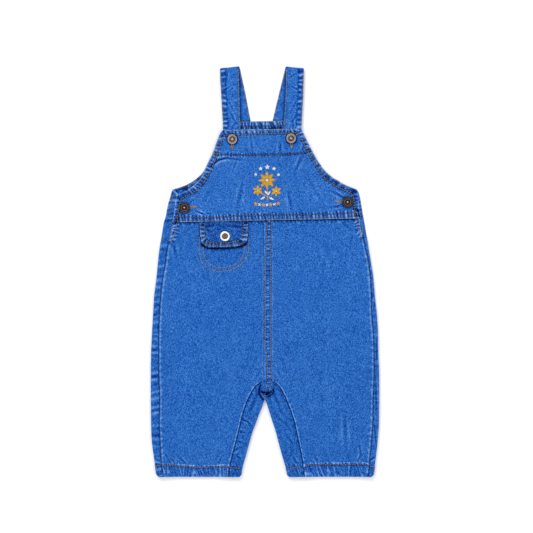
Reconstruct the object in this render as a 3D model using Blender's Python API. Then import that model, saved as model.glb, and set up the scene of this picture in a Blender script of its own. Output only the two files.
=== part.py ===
"""Denim overalls for a small child, laid flat with the front up.

Lengths are millimetres here and go into Blender as metres. X runs across the garment, Y from its hems
to its shoulders, and Z up from the surface that it lies on. Left and right are the sides as seen from
above, which are not the wearer's. Each cut piece is one closed wall of cloth, and sewn pieces stand a
seam's gap apart.
"""

import math
from collections import namedtuple

import bmesh
import bpy

MM = 0.001

# The cloth, and how its layers lie on each other
CLOTH = 1.1
DOUBLE_CLOTH = 1.6
GAP = 0.3
HEM_RISE = 0.5
BAND_STEP = 1.4
FRONT_REST = CLOTH + GAP + 0.05
TURN_RADIUS = 1.9
SEAM_REST = 2 * TURN_RADIUS - CLOTH - 0.15

# Levels along the garment
HEM = -246.0
HEM_LINE = -232.5
WAIST = 61.3
WAIST_LAP = 9.0
BACK_WAIST = 62.0
PLACKET_END = 38.0
BIB_TOP = 170.3
FACING_LINE = 140.6
BACK_TOP = 180.3
BACK_BAND = 9.0
BACK_BAND_RISE = 0.7
CROTCH = -132.9

# The upper half lies turned by about one degree, and the legs lie straight
TILT = 0.021
TILT_FROM = 8.0
TILT_FULL = 45.0

# Seam bands and folds
SIDE_BAND = 7.0
ARMHOLE_BAND = 7.5
CENTRE_BAND = 9.0
CENTRE_SEAM = -1.05
LAP_REST = 3.35
STRAP_REST = 2.1
COVER_REST = STRAP_REST + DOUBLE_CLOTH + GAP + 0.05
ARC_STEPS = 5

Outline = namedtuple("Outline", "y left right")
Side = namedtuple("Side", "y fold_left seam_left seam_right fold_right")
Inner = namedtuple("Inner", "y seam_left fold_left fold_right seam_right")
Strap = namedtuple("Strap", "left_x left_y right_x right_y under")
Button = namedtuple("Button", "name x y radius carried_by")
Fold = namedtuple("Fold", "x y along across turn height")

FRONT_BIB = [
    Outline(170.3, -50.2, 43.2),
    Outline(168.6, -52.4, 44.1),
    Outline(160.0, -56.4, 48.1),
    Outline(142.0, -63.1, 57.1),
    Outline(131.0, -68.6, 63.5),
    Outline(122.0, -72.9, 69.7),
    Outline(117.0, -75.0, 74.2),
    Outline(111.0, -79.2, 81.3),
    Outline(107.0, -82.9, 87.6),
    Outline(102.0, -89.1, 95.8),
    Outline(98.0, -95.6, 105.0),
    Outline(95.6, -101.2, 110.0),
    Outline(94.0, -104.8, 110.8),
    Outline(87.0, -107.2, 111.7),
    Outline(78.0, -108.1, 112.3),
    Outline(69.0, -109.2, 113.4),
    Outline(61.3, -110.9, 114.5),
]

BACK_BIB = [
    Outline(180.3, -41.0, 33.4),
    Outline(168.0, -45.2, 37.6),
    Outline(156.0, -50.8, 44.0),
    Outline(144.0, -58.4, 51.5),
    Outline(129.3, -69.4, 61.0),
    Outline(123.2, -72.4, 66.4),
    Outline(117.8, -77.0, 71.4),
    Outline(110.6, -85.5, 80.0),
    Outline(105.3, -95.4, 88.0),
    Outline(102.5, -103.6, 93.4),
    Outline(100.4, -110.9, 99.0),
    Outline(97.0, -112.2, 107.2),
    Outline(94.6, -112.9, 111.0),
    Outline(90.6, -114.0, 112.8),
    Outline(83.4, -116.2, 114.4),
    Outline(76.3, -117.6, 115.6),
    Outline(69.1, -119.0, 116.8),
    Outline(62.0, -121.1, 118.0),
]

SIDES = [
    Side(70.3, -118.8, -109.1, 113.3, 116.8),
    Side(62.0, -121.1, -110.8, 114.4, 118.0),
    Side(54.0, -122.5, -112.2, 115.6, 119.4),
    Side(46.0, -123.8, -114.3, 116.7, 120.7),
    Side(40.0, -124.7, -115.2, 117.4, 121.8),
    Side(30.0, -126.3, -116.9, 119.6, 123.5),
    Side(11.0, -128.3, -119.1, 124.0, 126.9),
    Side(-8.0, -130.1, -122.4, 126.3, 129.8),
    Side(-29.0, -132.8, -124.8, 127.4, 131.6),
    Side(-52.0, -134.2, -126.5, 127.9, 134.0),
    Side(-77.0, -135.6, -127.3, 130.1, 135.5),
    Side(-99.0, -136.6, -127.4, 130.8, 135.9),
    Side(-122.0, -136.9, -127.2, 130.8, 136.8),
    Side(-150.0, -136.9, -126.3, 129.8, 136.9),
    Side(-180.0, -136.6, -126.6, 129.2, 136.6),
    Side(-204.0, -135.6, -125.7, 127.5, 134.9),
    Side(-226.0, -132.6, -124.4, 125.4, 132.4),
    Side(-240.0, -130.9, -122.7, 124.3, 131.0),
    Side(-246.0, -129.9, -121.6, 123.8, 130.2),
]

INNER_LEGS = [
    Inner(-132.9, -5.3, -0.2, 0.2, 11.6),
    Inner(-138.6, -11.9, -0.2, 0.2, 17.5),
    Inner(-148.2, -17.8, -0.2, 0.2, 22.9),
    Inner(-152.5, -19.9, -0.3, 0.3, 24.9),
    Inner(-158.0, -22.2, -2.0, 2.0, 27.2),
    Inner(-164.0, -24.3, -4.2, 3.9, 29.6),
    Inner(-172.0, -26.8, -7.4, 6.4, 32.4),
    Inner(-180.0, -28.9, -10.2, 9.0, 35.0),
    Inner(-193.0, -31.8, -15.2, 13.2, 37.7),
    Inner(-207.0, -35.4, -19.2, 16.8, 40.7),
    Inner(-221.0, -39.2, -23.0, 20.6, 43.7),
    Inner(-236.0, -42.6, -27.2, 25.0, 46.1),
    Inner(-246.0, -43.6, -28.4, 26.6, 47.3),
]

POCKET_FLAP = [
    Outline(61.0, -78.3, -20.2),
    Outline(46.0, -77.5, -20.5),
    Outline(40.0, -76.8, -21.2),
    Outline(35.4, -75.2, -22.8),
    Outline(32.4, -72.6, -27.0),
    Outline(30.8, -69.0, -34.5),
    Outline(29.9, -62.0, -44.0),
]

STRAP_FRONTS = {
    "left": [
        Strap(-49.7, 149.5, -28.9, 150.5, 1.5),
        Strap(-50.2, 160.0, -29.2, 161.0, 1.7),
        Strap(-50.4, 169.0, -29.5, 170.4, 2.1),
        Strap(-50.5, 178.0, -29.7, 179.5, 2.1),
        Strap(-52.3, 208.2, -30.5, 210.6, 2.1),
        Strap(-53.5, 227.4, -31.0, 229.9, 2.1),
        Strap(-53.9, 241.7, -31.6, 244.1, 2.1),
    ],
    "right": [
        Strap(20.8, 151.5, 42.4, 150.5, 1.5),
        Strap(21.4, 161.5, 43.0, 160.5, 1.7),
        Strap(22.0, 172.2, 43.5, 171.2, 2.1),
        Strap(22.6, 181.0, 44.0, 179.8, 2.1),
        Strap(24.5, 209.8, 45.6, 208.6, 2.1),
        Strap(25.1, 230.5, 46.2, 228.8, 2.1),
        Strap(25.4, 243.9, 46.5, 241.8, 2.1),
    ],
}

STRAP_BACKS = {
    "left": [
        Strap(-53.4, 241.4, -30.3, 243.9, 0.0),
        Strap(-46.6, 209.6, -23.4, 212.4, 0.0),
        Strap(-39.8, 179.9, -17.4, 180.3, 0.0),
    ],
    "right": [
        Strap(24.3, 243.6, 46.2, 241.6, 0.0),
        Strap(16.3, 211.0, 38.8, 209.6, 0.0),
        Strap(9.2, 180.9, 31.4, 181.3, 0.0),
    ],
}

BUTTONS = [
    Button("button_bib_left", -39.1, 157.9, 5.8, "front_bib"),
    Button("button_bib_right", 31.2, 159.0, 5.8, "front_bib"),
    Button("button_side_left", -96.4, 76.3, 6.4, "front_bib"),
    Button("button_side_right", 98.8, 82.9, 6.4, "front_bib"),
    Button("button_flap", -47.8, 42.1, 5.9, "pocket_flap"),
]

# The largest soft folds of the two front legs: centre, half length, half width, turn in degrees, height
LEG_FOLDS = [
    Fold(-96.0, 20.0, 46.0, 9.0, 78.0, 0.5),
    Fold(-70.0, -60.0, 60.0, 15.0, 96.0, 0.6),
    Fold(-34.0, -112.0, 34.0, 9.0, 62.0, 0.7),
    Fold(-96.0, -170.0, 52.0, 14.0, 84.0, 0.5),
    Fold(48.0, 28.0, 40.0, 11.0, 100.0, 0.5),
    Fold(88.0, -48.0, 62.0, 15.0, 86.0, 0.6),
    Fold(44.0, -114.0, 34.0, 9.0, 118.0, 0.7),
    Fold(92.0, -176.0, 48.0, 13.0, 95.0, 0.5),
]

DENIM = (0.030, 0.142, 0.500)
DARK_DENIM = (0.015, 0.092, 0.400)
SILVER = (0.62, 0.60, 0.56)
BRONZE = (0.20, 0.15, 0.11)


class Curve:
    """A smooth curve through (place, value) pairs that never overshoots them."""

    def __init__(self, pairs):
        self.pairs = sorted(pairs)
        steps = list(zip(self.pairs, self.pairs[1:]))
        chords = [(after[1] - before[1]) / (after[0] - before[0]) for before, after in steps]
        middle = [
            2 * a * b / (a + b) if a * b > 0 else 0.0
            for a, b in zip(chords, chords[1:])
        ]
        self.slopes = [chords[0], *middle, chords[-1]]

    def at(self, place):
        place = min(max(place, self.pairs[0][0]), self.pairs[-1][0])
        index = 0
        while index < len(self.pairs) - 2 and place > self.pairs[index + 1][0]:
            index += 1
        (start, low), (end, high) = self.pairs[index], self.pairs[index + 1]
        span = end - start
        part = (place - start) / span
        rise = high - low
        left_slope = self.slopes[index] * span
        right_slope = self.slopes[index + 1] * span
        bend = left_slope + right_slope - 2 * rise
        return low + part * (left_slope + part * ((rise - left_slope - bend) + part * bend))

    def slope(self, place):
        reach = 0.6
        return (self.at(place + reach) - self.at(place - reach)) / (2 * reach)


def curve_of(table, column):
    return Curve([(row.y, getattr(row, column)) for row in table])


def soft_step(start, end, value):
    """0 at start and 1 at end, with a soft turn at both."""
    part = min(max((value - start) / (end - start), 0.0), 1.0)
    return part * part * (3 - 2 * part)


def lie(x, level):
    """The y of a point of the garment, which turns a little above the hips."""
    return level + TILT * x * soft_step(TILT_FROM, TILT_FULL, level)


def gap_to(curve, x, level):
    """How far a point is from an edge, square to that edge."""
    return abs(x - curve.at(level)) / math.hypot(1, curve.slope(level))


def band(distance, width, rise=HEM_RISE):
    """What a turned hem or a felled seam of this width adds at this distance from the edge."""
    return rise * (1 - soft_step(width, width + BAND_STEP, distance))


def levels(*stretches):
    """Levels down a piece: each stretch is a first level, a last level and a number of steps."""
    found = []
    for first, last, steps in stretches:
        found += [first + (last - first) * step / steps for step in range(steps + 1)]
    return [level for index, level in enumerate(found) if index == 0 or level != found[index - 1]]


def across(left, right, left_bands, right_bands, middle):
    """x places across a piece: set distances in from both edges, and even ones between them."""
    ends = [left + distance for distance in left_bands]
    others = [right - distance for distance in reversed(right_bands)]
    between = [
        ends[-1] + (others[0] - ends[-1]) * step / (middle + 1)
        for step in range(1, middle + 1)
    ]
    return ends + between + others


bib_left = curve_of(FRONT_BIB, "left")
bib_right = curve_of(FRONT_BIB, "right")
back_left = curve_of(BACK_BIB, "left")
back_right = curve_of(BACK_BIB, "right")
side_fold_left = curve_of(SIDES, "fold_left")
side_seam_left = curve_of(SIDES, "seam_left")
side_seam_right = curve_of(SIDES, "seam_right")
side_fold_right = curve_of(SIDES, "fold_right")
inner_seam_left = curve_of(INNER_LEGS, "seam_left")
inner_fold_left = curve_of(INNER_LEGS, "fold_left")
inner_fold_right = curve_of(INNER_LEGS, "fold_right")
inner_seam_right = curve_of(INNER_LEGS, "seam_right")
flap_left = curve_of(POCKET_FLAP, "left")
flap_right = curve_of(POCKET_FLAP, "right")


def bib_rest(level):
    """Height of the front bib's underside: up over the waist lap, and up over the strap ends."""
    over_lap = 1 - soft_step(WAIST + WAIST_LAP + 0.8, WAIST + 28, level)
    over_straps = soft_step(122.0, 147.5, level)
    lifted = FRONT_REST + (LAP_REST - FRONT_REST) * over_lap
    return lifted + (COVER_REST - FRONT_REST) * over_straps


def bib_top(x, level):
    """Height of the front bib's outer side, with its hems."""
    edge = min(gap_to(bib_left, x, level), gap_to(bib_right, x, level))
    rise = max(
        band(edge, ARMHOLE_BAND),
        band(BIB_TOP - level, 5.5),
        band(level - WAIST, 4.6, 0.3),
    )
    facing = 0.25 * soft_step(FACING_LINE - 1.5, FACING_LINE, level)
    return bib_rest(level) + CLOTH + rise + facing


def leg_folds(x, y):
    """What the soft folds add at a point."""
    total = 0.0
    for fold in LEG_FOLDS:
        turn = math.radians(fold.turn)
        along = (x - fold.x) * math.cos(turn) + (y - fold.y) * math.sin(turn)
        beside = (y - fold.y) * math.cos(turn) - (x - fold.x) * math.sin(turn)
        total += fold.height * math.exp(-((along / fold.along) ** 2) - (beside / fold.across) ** 2)
    return total


def leg_rest(x, level, side):
    """Height of a front leg's underside: low in the middle, higher where it meets the turned back cloth."""
    outer = side_seam_left if side == "left" else side_seam_right
    inner = inner_seam_left if side == "left" else inner_seam_right
    lift = (1 - soft_step(0, 17, gap_to(outer, x, level))) * (1 - soft_step(PLACKET_END, 52, level))
    if level < CROTCH + 20:
        near = 1 - soft_step(0, 17, gap_to(inner, x, level))
        lift = max(lift, near * (1 - soft_step(CROTCH, CROTCH + 20, level)))
    calm = soft_step(WAIST - 6, WAIST - 30, level)
    return FRONT_REST + (SEAM_REST - FRONT_REST) * lift + leg_folds(x, level) * (1 - lift) * calm


def leg_top(x, level, side):
    """Height of a front leg's outer side, with its side seam, centre seam and hem."""
    outer = side_seam_left if side == "left" else side_seam_right
    rise = max(
        band(gap_to(outer, x, level), SIDE_BAND, 0.4),
        band(level - HEM, HEM_LINE - HEM),
    )
    if side == "right" and level > CROTCH:
        rise = max(rise, band(abs(x - CENTRE_SEAM), CENTRE_BAND))
    return leg_rest(x, level, side) + CLOTH + rise


def finish_of(name, colour, roughness, metallic=0.0):
    material = bpy.data.materials.new(name)
    material.use_nodes = True
    shader = material.node_tree.nodes["Principled BSDF"]
    shader.inputs["Base Color"].default_value = (*colour, 1.0)
    shader.inputs["Roughness"].default_value = roughness
    shader.inputs["Metallic"].default_value = metallic
    return material


def finished(name, mesh, material, sharp_degrees=35.0):
    """Closes the bmesh into one named object, faces out and smooth but for its sharp edges."""
    bmesh.ops.recalc_face_normals(mesh, faces=mesh.faces[:])
    data = bpy.data.meshes.new(name)
    mesh.to_mesh(data)
    mesh.free()
    data.shade_smooth()
    data.set_sharp_from_angle(angle=math.radians(sharp_degrees))
    data.materials.append(material)
    item = bpy.data.objects.new(name, data)
    bpy.context.scene.collection.objects.link(item)
    return item


def vertex_rows(mesh, rows):
    return [[mesh.verts.new([value * MM for value in point]) for point in row] for row in rows]


def skin(mesh, rows):
    for row, following in zip(rows, rows[1:]):
        for index in range(len(row) - 1):
            mesh.faces.new((row[index], row[index + 1], following[index + 1], following[index]))


def edge_wall(mesh, outer, inner):
    for index in range(len(outer) - 1):
        mesh.faces.new((outer[index], outer[index + 1], inner[index + 1], inner[index]))


def wall(name, outer_rows, inner_rows, material):
    """A closed wall of cloth between two grids of points of the same size."""
    mesh = bmesh.new()
    outer = vertex_rows(mesh, outer_rows)
    inner = vertex_rows(mesh, inner_rows)
    skin(mesh, outer)
    skin(mesh, inner)
    edge_wall(mesh, outer[0], inner[0])
    edge_wall(mesh, outer[-1], inner[-1])
    edge_wall(mesh, [row[0] for row in outer], [row[0] for row in inner])
    edge_wall(mesh, [row[-1] for row in outer], [row[-1] for row in inner])
    return finished(name, mesh, material)


def panel(name, rows, top, under, material):
    """A piece that lies flat: rows of x places by level, with functions for its two heights."""
    outer = [[(x, lie(x, level), top(x, level)) for x in places] for level, places in rows]
    inner = [[(x, lie(x, level), under(x, level)) for x in places] for level, places in rows]
    return wall(name, outer, inner, material)


def make_front_bib():
    """The front's upper piece, from its hemmed top to the edge that laps over the legs."""
    rows = []
    for level in levels(
        (BIB_TOP, BIB_TOP - 1.7, 1),
        (BIB_TOP - 5.5, BIB_TOP - 5.5 - BAND_STEP, 1),
        (160, FACING_LINE, 3),
        (FACING_LINE - 1.5, 123, 3),
        (118, 98, 5),
        (95.6, 94, 1),
        (89, WAIST + 10, 4),
        (WAIST + 4.6 + BAND_STEP, WAIST + 4.6, 1),
        (WAIST + 1, WAIST, 1),
    ):
        stretch_left = math.hypot(1, bib_left.slope(level))
        stretch_right = math.hypot(1, bib_right.slope(level))
        bands = (0, ARMHOLE_BAND, ARMHOLE_BAND + BAND_STEP)
        rows.append((level, across(
            bib_left.at(level), bib_right.at(level),
            [distance * stretch_left for distance in bands],
            [distance * stretch_right for distance in bands],
            7,
        )))
    material = finish_of("front_bib", DENIM, 0.85)
    return panel("front_bib", rows, bib_top, lambda x, level: bib_rest(level), material)


def make_back_bib():
    """The back's upper piece, with its hemmed top between the straps."""
    def top(x, level):
        return CLOTH + band(BACK_TOP - level, BACK_BAND, BACK_BAND_RISE)

    rows = []
    for level in levels(
        (BACK_TOP, BACK_TOP - BACK_BAND, 1),
        (BACK_TOP - BACK_BAND - 1.5, 131, 4),
        (125, 97, 7),
        (94.6, 90, 1),
        (83, BACK_WAIST + GAP / 2, 3),
    ):
        rows.append((level, across(back_left.at(level), back_right.at(level), (0, 6), (0, 6), 3)))
    material = finish_of("back_bib", DENIM, 0.85)
    return panel("back_bib", rows, top, lambda x, level: 0.0, material)


def leg_levels():
    return levels(
        (WAIST + WAIST_LAP, WAIST, 2),
        (56, PLACKET_END + GAP, 3),
        (PLACKET_END - GAP, -2, 4),
        (-14, -122, 9),
        (-130, -131.5, 1),
        (-132.6, -138.6, 2),
        (-143, -158, 4),
        (-164, HEM_LINE + BAND_STEP, 6),
        (HEM_LINE, HEM + 1, 2),
        (HEM, HEM, 1),
    )


def make_front_leg(side):
    """A front leg from under the bib to the hem, inside its side, centre and inner-leg seams."""
    rows = []
    for level in leg_levels():
        outer_bands = (0, SIDE_BAND, SIDE_BAND + BAND_STEP)
        clear = GAP / 2
        if side == "left":
            left = side_seam_left.at(level) + clear
            centre = CENTRE_SEAM - clear
            down = inner_seam_left.at(level) - clear
            right = centre if level > -131 else min(down, centre - 2.6)
            places = across(left, right, outer_bands, (0,), 7)
        else:
            right = side_seam_right.at(level) - clear
            centre = CENTRE_SEAM + clear
            down = inner_seam_right.at(level) + clear
            left = centre if level > -131 else (6.4 if level > -132 else down)
            inner_bands = (0, CENTRE_BAND, CENTRE_BAND + BAND_STEP)
            places = across(left, right, inner_bands, outer_bands, 5)
        rows.append((level, places))
    return panel(
        f"front_leg_{side}", rows,
        lambda x, level: leg_top(x, level, side),
        lambda x, level: leg_rest(x, level, side),
        finish_of(f"front_leg_{side}", DENIM, 0.85),
    )


def turned_edge(fold_x, lip_x, level, columns):
    """The wall that turns up round an edge and lies back to a lip, as outer and inner points in order."""
    inward = 1 if lip_x > fold_x else -1
    middle = fold_x + inward * TURN_RADIUS
    rise = band(level - HEM, HEM_LINE - HEM)
    outer, inner = [], []
    for step in range(1, ARC_STEPS + 1):
        turn = math.pi * step / ARC_STEPS
        for points, radius, lift in ((outer, TURN_RADIUS, rise), (inner, TURN_RADIUS - CLOTH, 0.0)):
            x = middle - inward * radius * math.sin(turn)
            z = TURN_RADIUS - radius * math.cos(turn) + lift * (1 - math.cos(turn)) / 2
            points.append((x, lie(x, level), z))
    width = abs(lip_x - middle)
    for step in range(1, columns + 1):
        x = middle + (lip_x - middle) * step / columns
        sag = 0.35 * soft_step(4, 14, width) * math.sin(math.pi * step / columns) + 0.15 * step / columns
        z = 2 * TURN_RADIUS - sag
        outer.append((x, lie(x, level), z + rise))
        inner.append((x, lie(x, level), z - CLOTH))
    return outer, inner


def make_back_leg(side):
    """A back leg: flat underneath, turned forward along its side and, below the crotch, its inside."""
    fold = side_fold_left if side == "left" else side_fold_right
    seam = side_seam_left if side == "left" else side_seam_right
    inner_fold = inner_fold_left if side == "left" else inner_fold_right
    inner_seam = inner_seam_left if side == "left" else inner_seam_right
    outward = -1 if side == "left" else 1
    clear = GAP / 2
    mesh = bmesh.new()
    sections = []
    for level in levels(
        (BACK_WAIST - clear, PLACKET_END + GAP, 2),
        (PLACKET_END, -2, 4),
        (-14, -122, 9),
        (CROTCH + GAP, CROTCH, 1),
        (-138.6, -158, 4),
        (-164, HEM_LINE + BAND_STEP, 6),
        (HEM_LINE, HEM + 1, 2),
        (HEM, HEM, 1),
    ):
        outer_x = fold.at(level)
        inner_x = outward * clear
        turns = []
        if level <= PLACKET_END:
            turns.append(turned_edge(outer_x, seam.at(level) + outward * clear, level, 1))
            outer_x -= outward * TURN_RADIUS
        else:
            turns.append(None)
        if level <= CROTCH:
            inner_x = inner_fold.at(level)
            turns.append(turned_edge(inner_x, inner_seam.at(level) - outward * clear, level, 2))
            inner_x += outward * TURN_RADIUS
        else:
            turns.append(None)
        ends = [[(x, lie(x, level), z) for z in (0.0, CLOTH)] for x in (outer_x, inner_x)]
        section = []
        for (low, high), turn in zip(ends, turns):
            outer, inner = turn if turn else ([], [])
            section.append(vertex_rows(mesh, [[low, *outer], [high, *inner]]))
        sections.append(section)
    close_turned(mesh, sections)
    return finished(f"back_leg_{side}", mesh, finish_of(f"back_leg_{side}", DENIM, 0.85))


def close_turned(mesh, sections):
    """Faces over sections whose ends are plain or turned: a turned end has more than one point."""
    for first, second in zip(sections, sections[1:]):
        for skin_index in (0, 1):
            mesh.faces.new((
                first[0][skin_index][0], first[1][skin_index][0],
                second[1][skin_index][0], second[0][skin_index][0],
            ))
        for end_first, end_second in zip(first, second):
            if len(end_first[0]) > 1 and len(end_second[0]) > 1:
                skin(mesh, [end_first[0], end_second[0]])
                skin(mesh, [end_first[1], end_second[1]])
                tip = -1
            else:
                tip = 0
            mesh.faces.new((
                end_first[0][tip], end_second[0][tip],
                end_second[1][tip], end_first[1][tip],
            ))
    for section in (sections[0], sections[-1]):
        (low_a, high_a), (low_b, high_b) = section
        mesh.faces.new((low_a[0], low_b[0], high_b[0], high_a[0]))
    for end in (0, 1):
        turned = [index for index, section in enumerate(sections) if len(section[end][0]) > 1]
        for index in (turned[0], turned[-1]):
            outer, inner = sections[index][end]
            mesh.faces.new(outer + inner[::-1])


def make_strap(side):
    """One strap of double cloth, from behind the bib over the shoulder fold to the back bib's top."""
    half = DOUBLE_CLOTH / 2
    front, back = STRAP_FRONTS[side], STRAP_BACKS[side]
    stations = []
    for first, second in zip(front, front[1:]):
        steps = max(1, round((second.left_y - first.left_y) / 8))
        for step in range(steps):
            stations.append(([a + (b - a) * step / steps for a, b in zip(first, second)], 0.0))
    turn_steps = 6
    for step in range(turn_steps + 1):
        part = step / turn_steps
        stations.append(([a + (b - a) * part for a, b in zip(front[-1], back[0])], math.pi * part))
    for first, second in zip(back, back[1:]):
        steps = max(1, round((first.left_y - second.left_y) / 11))
        for step in range(1, steps + 1):
            stations.append(([a + (b - a) * step / steps for a, b in zip(first, second)], math.pi))
    turn_middle = (STRAP_REST + 2 * half) / 2
    turn_radius = turn_middle - half
    places = (0.0, 0.2, 0.27, 0.73, 0.8, 1.0)
    outer, inner = [], []
    for (left_x, left_y, right_x, right_y, under), turn in stations:
        middle_z = under + half if turn == 0.0 else turn_middle + turn_radius * math.cos(turn)
        rows = [], []
        for place in places:
            x = left_x + (right_x - left_x) * place
            y = left_y + (right_y - left_y) * place + turn_radius * math.sin(turn)
            rise = 0.35 * max(0.0, math.cos(turn)) * (place <= 0.2 or place >= 0.8) * (left_y > 168)
            for row, reach in zip(rows, (half + rise, -half)):
                row.append((x, y + reach * math.sin(turn), middle_z + reach * math.cos(turn)))
        outer.append(rows[0])
        inner.append(rows[1])
    return wall(f"strap_{side}", outer, inner, finish_of(f"strap_{side}", DENIM, 0.85))


def flap_under(x, level):
    return leg_top(x, level, "left") + GAP


def flap_top(x, level):
    edge = min(gap_to(flap_left, x, level), gap_to(flap_right, x, level), level - POCKET_FLAP[-1].y)
    return flap_under(x, level) + DOUBLE_CLOTH - 0.3 + band(edge, 4.6, 0.35)


def make_pocket_flap():
    """The flap, which lies on the left leg from the bib's edge down."""
    rows = []
    for level in levels((61, 40, 3), (37.5, 35.4, 1), (33.8, POCKET_FLAP[-1].y, 3)):
        rows.append((level, across(flap_left.at(level), flap_right.at(level), (0, 4.6), (0, 4.6), 3)))
    material = finish_of("pocket_flap", DARK_DENIM, 0.88)
    return panel("pocket_flap", rows, flap_top, flap_under, material)


def make_button(button):
    """A round button on its shank: a turned profile with a rim, a dip and a raised middle."""
    surface = flap_top if button.carried_by == "pocket_flap" else bib_top
    seat = GAP + max(
        surface(button.x + reach * math.cos(turn), button.y - TILT * button.x + reach * math.sin(turn))
        for reach in (0.0, button.radius / 2, button.radius + 0.6)
        for turn in (math.pi * step / 6 for step in range(12))
    )
    radius = button.radius
    profile = [
        (0.0, 0.0), (0.50 * radius, 0.0), (0.54 * radius, 0.7), (0.90 * radius, 0.9), (radius, 1.4),
        (0.97 * radius, 2.0), (0.84 * radius, 2.3), (0.68 * radius, 1.9), (0.44 * radius, 2.0),
        (0.30 * radius, 2.5), (0.0, 2.7),
    ]
    mesh = bmesh.new()
    points = [mesh.verts.new((across_mm * MM, 0, up * MM)) for across_mm, up in profile]
    edges = [mesh.edges.new(pair) for pair in zip(points, points[1:])]
    bmesh.ops.spin(
        mesh, geom=points + edges, axis=(0, 0, 1), cent=(0, 0, 0), angle=math.tau, steps=18, use_merge=True,
    )
    bmesh.ops.remove_doubles(mesh, verts=mesh.verts[:], dist=0.00001)
    dark = button.name.startswith("button_side")
    item = finished(button.name, mesh, finish_of(button.name, BRONZE if dark else SILVER, 0.4, 0.9), 50.0)
    item.location = (button.x * MM, button.y * MM, seat * MM)
    return item


def main():
    for item in list(bpy.data.objects):
        bpy.data.objects.remove(item)
    make_back_bib()
    make_front_bib()
    for side in ("left", "right"):
        make_back_leg(side)
        make_front_leg(side)
        make_strap(side)
    make_pocket_flap()
    for button in BUTTONS:
        make_button(button)


main()
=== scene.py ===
"""Denim overalls for a small child, laid flat with the front up: the cloth, its sewing and its buttons.

Lengths are millimetres and go into Blender as metres. X runs across the garment, Y from its hems to its
shoulders, and Z up from the floor. A level is a place along the garment before its upper half is turned by
about a degree. Left and right are the sides as seen from above. Wear and shade is how pale the cloth is:
above
0 it is rubbed, with painted highlight on ridges, and below 0 it is deep, a little from its own uneven tone
and mostly painted shade in troughs, along seams, round buttons and under edges, down to painted black shadow.
A finish shows it through each mesh's own numbers.
"""

import logging
import math
from dataclasses import dataclass
from enum import Enum
from functools import lru_cache
from typing import Callable, NamedTuple, Optional, Sequence, Union

import bmesh
import bpy
import numpy as np
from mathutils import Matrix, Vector

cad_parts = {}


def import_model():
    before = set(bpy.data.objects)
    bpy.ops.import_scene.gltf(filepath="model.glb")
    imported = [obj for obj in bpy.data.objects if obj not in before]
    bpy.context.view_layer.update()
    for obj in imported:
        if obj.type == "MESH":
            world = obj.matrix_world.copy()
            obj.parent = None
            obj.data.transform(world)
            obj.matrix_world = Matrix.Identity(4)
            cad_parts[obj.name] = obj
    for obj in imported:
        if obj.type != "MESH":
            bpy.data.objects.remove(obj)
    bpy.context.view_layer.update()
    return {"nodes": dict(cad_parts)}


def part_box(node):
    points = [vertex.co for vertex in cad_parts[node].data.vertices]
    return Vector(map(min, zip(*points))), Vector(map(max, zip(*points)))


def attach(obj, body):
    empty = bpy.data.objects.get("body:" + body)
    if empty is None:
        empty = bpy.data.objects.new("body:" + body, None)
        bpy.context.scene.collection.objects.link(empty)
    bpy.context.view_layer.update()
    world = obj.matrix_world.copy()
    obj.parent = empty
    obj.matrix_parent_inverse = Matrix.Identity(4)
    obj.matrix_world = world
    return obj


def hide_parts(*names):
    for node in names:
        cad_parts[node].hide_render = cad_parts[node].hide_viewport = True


log = logging.getLogger("overalls")

Array = np.ndarray
Numbers = Union[float, Array]
Colour = tuple[float, float, float]
Surface = Callable[[Array, Array], Array]

MM = 0.001

# The cloth, and how its layers lie on each other
CLOTH = 1.1
DOUBLE_CLOTH = 1.6
GAP = 0.3
HEM_RISE = 0.5
BAND_STEP = 1.4
FRONT_REST = CLOTH + GAP + 0.05
TURN_RADIUS = 1.9
SEAM_REST = 2 * TURN_RADIUS - CLOTH - 0.15
LAP_REST = 3.35
STRAP_REST = 2.1
COVER_REST = STRAP_REST + DOUBLE_CLOTH + GAP + 0.05
STITCH_LIFT = 0.06

# Levels along the garment
HEM = -246.0
HEM_LINE = -232.5
WAIST = 61.3
WAIST_LAP = 9.0
BACK_WAIST = 62.0
PLACKET_END = 38.0
BIB_TOP = 170.3
FACING_LINE = 140.6
BACK_TOP = 180.3
CROTCH = -132.9
CROTCH_SEAM = -131.0

# The upper half lies turned by about one degree, and the legs lie straight
TILT = 0.021
TILT_FROM = 8.0
TILT_FULL = 45.0

# Widths of seams, hems and the straps
SIDE_BAND = 7.0
ARMHOLE_BAND = 7.5
BACK_BAND = 9.0
CENTRE_BAND = 9.0
STRAP_WIDTH = 21.8

# Where the centre seam lies along X
CENTRE_SEAM = -1.05

# How much paler the cloth is for each millimetre that it stands up, as rubbed wear and painted highlight on
# ridges and painted shade in troughs, its limits, down to painted black shadow, and the painted shade on
# inner sides
WEAR_AND_SHADE_PER_MM = 5.4
DEEPEST = -2.3
INSIDE_SHADE = -0.3

# The middles of the bib's buttons, the ends of their buttonholes, and their radius
BIB_BUTTONS = ((-39.1, 157.9), (31.2, 159), (-96.4, 76.3), (98.8, 82.9))
BUTTONHOLE_ENDS = ((-38.8, 147.6), (31.9, 149.4), (-83.4, 77.6), (85.6, 83.8))
BUTTON_RADIUS = 6.1

# Slopes are read this far to each side, and no edge counts as more slanted than this
SLOPE_REACH = 0.6
STEEPEST = 2.6

# Further than any seam reaches
FAR = 50.0


class Outline(NamedTuple):
    """Where a piece's two edges are at one level."""

    y: float
    left: float
    right: float


class SideRow(NamedTuple):
    """Where the turned side edges and the side seams are at one level."""

    y: float
    fold_left: float
    seam_left: float
    seam_right: float
    fold_right: float


class InnerRow(NamedTuple):
    """Where the turned inner edges and the inner-leg seams are at one level."""

    y: float
    seam_left: float
    fold_left: float
    fold_right: float
    seam_right: float


class StrapRow(NamedTuple):
    """The two ends of one line across a strap, and the height of the cloth's underside there."""

    left_x: float
    left_y: float
    right_x: float
    right_y: float
    under: float


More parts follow.
